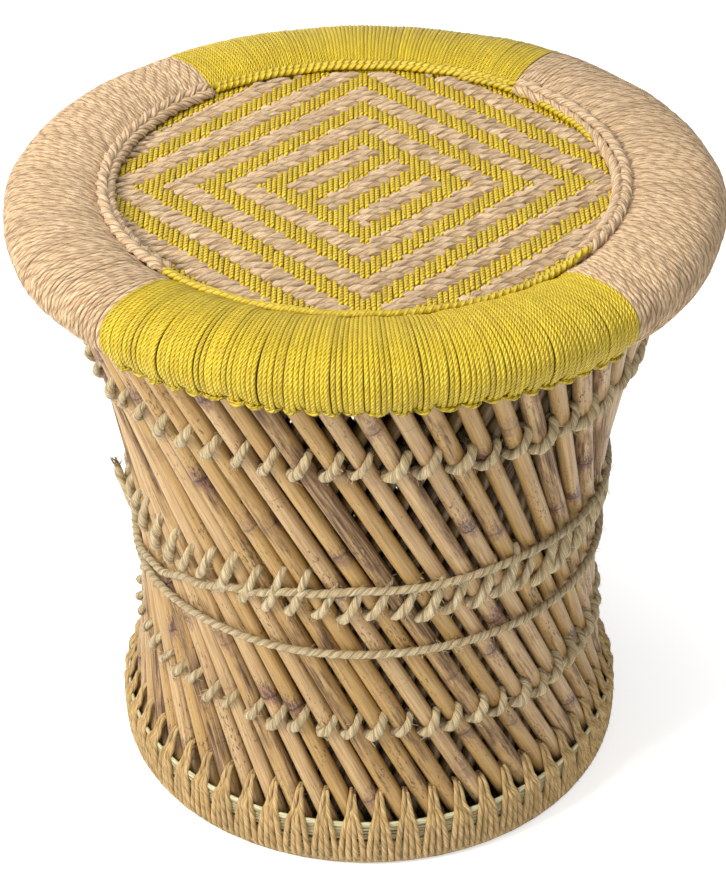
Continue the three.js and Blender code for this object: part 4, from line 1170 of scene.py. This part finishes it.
def rim_turns(start, end, pitch_mm, inset, seed, slip, bows):
    """Closed loops side by side from one angle to the other; slip is how far the outside strays."""
    wobble = random.Random(seed)
    outside = RIM_RADIUS + RIM_HALF_WIDTH
    count = round(math.radians(end - start) * outside / pitch_mm)
    turns = []
    stray, tilt = 0.0, 0.0
    for j in range(count):
        stray = stray * 0.72 + wobble.gauss(0, slip)
        tilt = tilt * 0.9 + wobble.gauss(0, slip * 0.5)
        middle = start + (end - start) * (j + 0.5) / count
        # One turn in twenty slips far enough to open a gap
        if wobble.random() < SLIP_CHANCE:
            stray += slip * 4
        height = wobble.uniform(-0.18, 0.22)
        hang = bow_at(bows, middle)
        loop, away, girths = [], [], []
        for i in range(TURN_POINTS):
            angle = TURN * (i / TURN_POINTS - 0.25)
            swell = 1.0 + rim_swell(middle, angle)
            from_bow = angle - BOW_ANGLE
            low = max(math.cos(from_bow * 3.0), 0) if abs(from_bow) < 0.5 else 0
            across, rise = rim_offset(angle, inset - height - BOW_MM * hang * low)
            across, rise = across * swell, rise * swell
            shift = stray * max(math.cos(angle), 0) + tilt * math.sin(angle)
            radius = RIM_RADIUS + across
            where = middle + math.degrees(shift / outside)
            loop.append(polar(radius, where, RIM_HEIGHT + rise))
            # Outward from the skin of the rim, so that the cord lies flat on it
            away.append(polar(1, where, 0) * (across / RIM_HALF_WIDTH ** 1.4)
                        + Vector((0, 0, rise / RIM_HALF_HEIGHT ** 1.4)))
            # Turns crowd together on the inside, so they are thinner there
            girths.append((0.35 + 0.65 * radius / outside) * 1.03)
        turns.append(path_of(loop, closed=True, away=away, girths=girths))
    return turns


print("each turn has", TURN_POINTS, "points")

# %% Wind the rim
YELLOW_TURNS = {"pitch": 2.8, "width": 2.95, "depth": 2.5, "material": yellow_wrap,
                "slot": "yellow_cord", "hairs": None}
JUTE_TURNS = {"pitch": 3.35, "width": 3.45, "depth": 3.0, "material": jute_wrap,
              "slot": "natural_rope", "hairs": JUTE_HAIRS | {"Fibres per Square Metre": 5000.0}}
for cad_node, cord, start, end, seed, slip, bows in (
        ("rim_wrap_front", YELLOW_TURNS, -132.5, -46, 101, 0.28, front_bows),
        ("rim_wrap_right", JUTE_TURNS, -46, 52, 102, 0.32, []),
        ("rim_wrap_back", YELLOW_TURNS, 52, 128, 103, 0.25, back_bows),
        ("rim_wrap_left", JUTE_TURNS, 128, 227.5, 104, 0.32, [])):
    turns = rim_turns(start, end, cord["pitch"], cord["depth"] / 2, seed, slip, bows)
    sizes = cord_sizes(cord["width"], cord["depth"], cord["material"], seed)
    grow(cad_node + "_turns", rope_tree, turns, sizes, [cad_node], cord["hairs"])

# %% [markdown]
# ## Scallops under the yellow wraps
# Under the front and back, the wrap hangs in short bows, three to five turns wide. The end of the
# cord is carried along their lower edge and makes it scalloped. The turns alone would end in a soft
# line, so three short cords follow each bow.

# %% Cord along the bows
SCALLOP_POINTS = 9
# Where each of the three cords lies on the section, in degrees, and how far it is let in
SCALLOP_ROWS = ((-44, 0.0), (-53, -0.3), (-62, -0.6))


def scallops(bows):
    """Short cords along the lower edge of each bow, and just under it."""
    paths = []
    for place, width, depth in bows:
        for turned, let_in in SCALLOP_ROWS:
            points, girths = [], []
            for i in range(SCALLOP_POINTS):
                share = i / (SCALLOP_POINTS - 1)
                sag = math.sin(math.pi * share) ** 0.6
                across, rise = rim_offset(math.radians(turned), -0.2 - let_in - BOW_MM * depth * sag)
                points.append(polar(RIM_RADIUS + across, place + width * share, RIM_HEIGHT + rise))
                girths.append(0.70 + 0.35 * math.sin(math.pi * share))
            paths.append(path_of(points, girths=girths))
    return paths


SCALLOP_SIZES = cord_sizes(3.2, 3.0, yellow_wrap, 36, groove=0.14, lay_mm=-8)
for cad_node, bows in (("rim_wrap_front", front_bows), ("rim_wrap_back", back_bows)):
    grow(cad_node + "_scallops", rope_tree, scallops(bows), SCALLOP_SIZES, [cad_node])

# %% [markdown]
# ## Edging of the seat
# Where the seat meets the rim, twisted yellow cords lie side by side at the front and back. At the
# sides two rows of jute lie together, from the seat up on to the rim. A true plait would need three
# strands that cross. Two twisted rows whose strands slant opposite ways look the same from above, and
# are far simpler. Two short ends of yellow cord stray over the weave at the back right.

# %% Paths of the edging
EDGE_HEIGHT = 393.8
KNOT_SPACING = 8


def edge_cord(table, seed):
    """A cord through a table of angle, radius and height, with a little wander and tucked ends."""
    wobble = random.Random(seed)
    phase = wobble.uniform(0, TURN)
    knots = [polar(radius, angle, height) for angle, radius, height in table]
    steps = [max(2, round((b - a).length / 1.0)) for a, b in zip(knots, knots[1:])]
    points = rounded(knots, steps)
    tucked = [min(1.0, 0.4 + 0.12 * min(i, len(points) - 1 - i)) for i in range(len(points))]
    for i, point in enumerate(points):
        point.z += 0.25 * math.sin(i * 0.16 + phase) - 3.0 * (1 - tucked[i])
    return path_of(points, girths=tucked)


def even_table(start, end, radius, height):
    """The table for a cord that keeps its radius and height, with evenly spaced knots."""
    count = round((end - start) / KNOT_SPACING)
    return [(start + (end - start) * i / count, radius, height) for i in range(count + 1)]


print("a quarter of the seat's edge has", len(even_table(0, 90, 150, EDGE_HEIGHT)), "knots")

# %% Edging cords
# At the right the front cords climb over the jute and end on the rim
INNER_CLIMB = [(-44, 150.2, 396.6), (-40, 153.2, 400.4), (-36.5, 155.0, 402.0)]
OUTER_CLIMB = [(-44, 152.6, 397.6), (-41, 154.6, 399.6)]
front_cords = [edge_cord(even_table(-138, -50, 148.6, EDGE_HEIGHT + 0.6) + INNER_CLIMB, 1),
               edge_cord(even_table(-138, -50, 151.4, EDGE_HEIGHT + 1.8) + OUTER_CLIMB, 2)]
back_cords = [edge_cord(even_table(52, 128, 148.6, EDGE_HEIGHT + 0.6), 3),
              edge_cord(even_table(50, 129, 151.4, EDGE_HEIGHT + 1.8), 4),
              edge_cord(even_table(46, 66, 145.8, EDGE_HEIGHT + 0.8), 5),
              edge_cord(even_table(19, 42, 144.0, EDGE_HEIGHT + 0.9), 6)]
CORD_SIZES = cord_sizes(4.5, 4.1, yellow_edge, 31, groove=0.24, lay_mm=-9.0, sides=10)
grow("edging_cord_front_laid", rope_tree, front_cords, CORD_SIZES, ["edging_cord_front"])
grow("edging_cord_back_laid", rope_tree, back_cords, CORD_SIZES, ["edging_cord_back"])
for side, start, end in (("right", -41, 51), ("left", 129, 223.5)):
    for place, radius, height, lay_mm in (("seat", 146.8, 394.9, 23), ("rim", 151.8, 397.2, -23)):
        row = edge_cord(even_table(start, end, radius, height), 7)
        sizes = cord_sizes(7.9, 5.2, jute_plait, 32, strands=5, groove=0.16, lay_mm=lay_mm, sides=20)
        grow("edging_" + place + "_row_" + side, rope_tree, [row], sizes, ["edging_braid_" + side],
             JUTE_HAIRS)

# %% [markdown]
# ## The woven seat
# Pairs of yellow cord run from front to back, and jute rope runs across. The pattern could be a
# picture, cell by cell, but a weaver keeps it as a rule: count how far a crossing is from the centre
# along the two slanting directions, and the larger of the two decides, six by six, which one lies on
# top. That gives diamonds inside diamonds, with three slanting bars in the middle.

# %% The draft of the weave
PAIR_PITCH, ROW_PITCH = 5.97, 6.5
WEFT_TOP, WEFT_UNDER = 389.9, 386.7
WARP_TOP, WARP_UNDER = 390.9, 385.7
SEAT_REACH = 149.5
ROWS_EACH_WAY, PAIRS_EACH_WAY = 22, 24
CORD_OFFSET = 1.48
# Within this many cells of the middle slant, the diamonds give way to bars
BAR_REACH = 7


def yellow_on_top(u, v):
    """True where the yellow pair u to the right and v rows to the front passes over the jute."""
    rising, falling = abs(u + v), abs(u - v)
    distance = rising if falling <= BAR_REACH else max(rising, falling)
    return distance % 6 in (2, 3, 4)


for v in range(-4, 5):
    print("".join("Y" if yellow_on_top(u, v) else "." for u in range(-12, 13)))

# %% Runs of the weave
def step_height(position, pitch, is_top, top, under, soft):
    """Height along a run: level over each crossing, and eased from one level to the next."""
    cell = math.floor(position / pitch + 0.5)
    inside = position / pitch - cell
    here_level = top if is_top(cell) else under
    edge = 0.5 - abs(inside)
    if edge < soft:
        next_cell = cell + (1 if inside > 0 else -1)
        next_level = top if is_top(next_cell) else under
        share = 0.5 + 0.5 * edge / soft
        share = share * share * (3 - 2 * share)
        return next_level + (here_level - next_level) * share
    return here_level


def run_of(fixed, along_x, pitch, is_top, top, under, step, soft, sway, puff):
    """One straight run of the weave, from edge to edge of the seat, puffed up where it is on top."""
    limit = math.sqrt(max(SEAT_REACH ** 2 - fixed ** 2, 0))
    steps = max(4, round(2 * limit / step))
    phase = rng.uniform(0, TURN)
    points = []
    for i in range(steps + 1):
        t = -limit + 2 * limit * i / steps
        height = step_height(t, pitch, is_top, top, under, soft)
        if height > (top + under) / 2:
            height += puff * math.sin(t / pitch * 1.1 + phase)
        drift = fixed + sway * math.sin(t / 17.0 + phase) + sway * 0.6 * math.sin(t / 6.1 + phase * 2)
        points.append(Vector((t, drift, height)) if along_x else Vector((drift, t, height)))
    return path_of(points, away=[Vector((0, 0, 1))] * len(points))


weft = [run_of(-v * ROW_PITCH, True, PAIR_PITCH, lambda u, v=v: not yellow_on_top(u, v),
               WEFT_TOP, WEFT_UNDER, step=2.3, soft=0.42, sway=0.35, puff=0.25)
        for v in range(-ROWS_EACH_WAY, ROWS_EACH_WAY + 1)]
grow("seat_weft_jute", rope_tree, weft,
     cord_sizes(6.8, 5.2, jute_weave, 51, strands=3, groove=0.12, lay_mm=-30, sides=12),
     ["seat_weft_rope"], JUTE_HAIRS | {"Fibres per Square Metre": 9000.0})
warp = [run_of(u * PAIR_PITCH + offset, False, ROW_PITCH, lambda row, u=u: yellow_on_top(u, -row),
               WARP_TOP, WARP_UNDER, step=2.1, soft=0.46, sway=0.10, puff=0.12)
        for u in range(-PAIRS_EACH_WAY, PAIRS_EACH_WAY + 1) for offset in (-CORD_OFFSET, CORD_OFFSET)]
grow("seat_warp_yellow", rope_tree, warp, cord_sizes(3.1, 2.7, yellow_weave, 52), ["seat_warp_cord"])

# %% [markdown]
# ## Pieces that keep their measured shape
# The bundles inside the rim, the bundle under the feet and the inner hoop are right as they are. They
# are hardly seen, through gaps and from below, so single stems would be wasted there. They get the
# look of packed dry reeds: streaks that follow the ring.

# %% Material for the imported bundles
def bundle_finish(name, stops, grain_mm):
    """Packed stems: noise about as wide as one stem, drawn out along the ring, in colour and height. Its
    low places are both sunk and darkest, as painted shade in the hollows.
    """
    material, tree = blank_material(name)
    body = add(tree, "ShaderNodeTexCoord")
    parts = add(tree, "ShaderNodeSeparateXYZ", [body.outputs["Object"]])
    x, y, z = parts.outputs
    flat = add(tree, "ShaderNodeCombineXYZ", [x, y])
    radius = add(tree, "ShaderNodeVectorMath", [flat], operation="LENGTH")
    angle = add(tree, "ShaderNodeMath", [y, x], operation="ARCTAN2")
    run = add(tree, "ShaderNodeMath", [angle, 12 * MM], operation="MULTIPLY")
    place = add(tree, "ShaderNodeCombineXYZ", [radius.outputs["Value"], run, z])
    grain = add(tree, "ShaderNodeTexNoise",
                {"Vector": place, "Scale": 1 / (grain_mm * MM), "Detail": 3.0, "Roughness": 0.6})
    colour = add(tree, "ShaderNodeValToRGB", [grain], stops)
    bump = add(tree, "ShaderNodeBump", {"Height": grain, "Distance": 0.8 * MM})
    shader = add(tree, "ShaderNodeBsdfPrincipled",
                 {"Base Color": colour, "Roughness": 0.8, "Specular IOR Level": 0.3, "Normal": bump})
    add(tree, "ShaderNodeOutputMaterial", {"Surface": shader})
    return material


# Bundled split reeds and grass, dry and dusty: matt, streaked in their own tones, with the darkest tone as
# painted shade in the hollows between the pieces
REED_CORE = ((0.32, "#4f3a22"), (0.52, "#8d6f47"), (0.72, "#b79a6c"))
GRASS_CORE = ((0.32, "#54452c"), (0.52, "#9c8a62"), (0.72, "#cdc096"))
rim_core = bundle_finish("bundled_split_reeds", REED_CORE, grain_mm=2.4)
foot_core = bundle_finish("bundled_dry_grass", GRASS_CORE, grain_mm=1.6)
for material, names in ((rim_core, ("rim_outer_bundle", "rim_inner_bundle", "rim_top_bundle")),
                        (foot_core, ("base_foot_bundle", "base_inner_hoop"))):
    for name in names:
        for material_slot in nodes[name].material_slots:
            material_slot.material = material
print("five measured pieces keep their shape")

# %% [markdown]
# ## Last step
# The finished stool stays inside the measured box but for the cord's own fullness. The scene is brought up
# to date once more.

# %% Bring the scene up to date
bpy.context.view_layer.update()
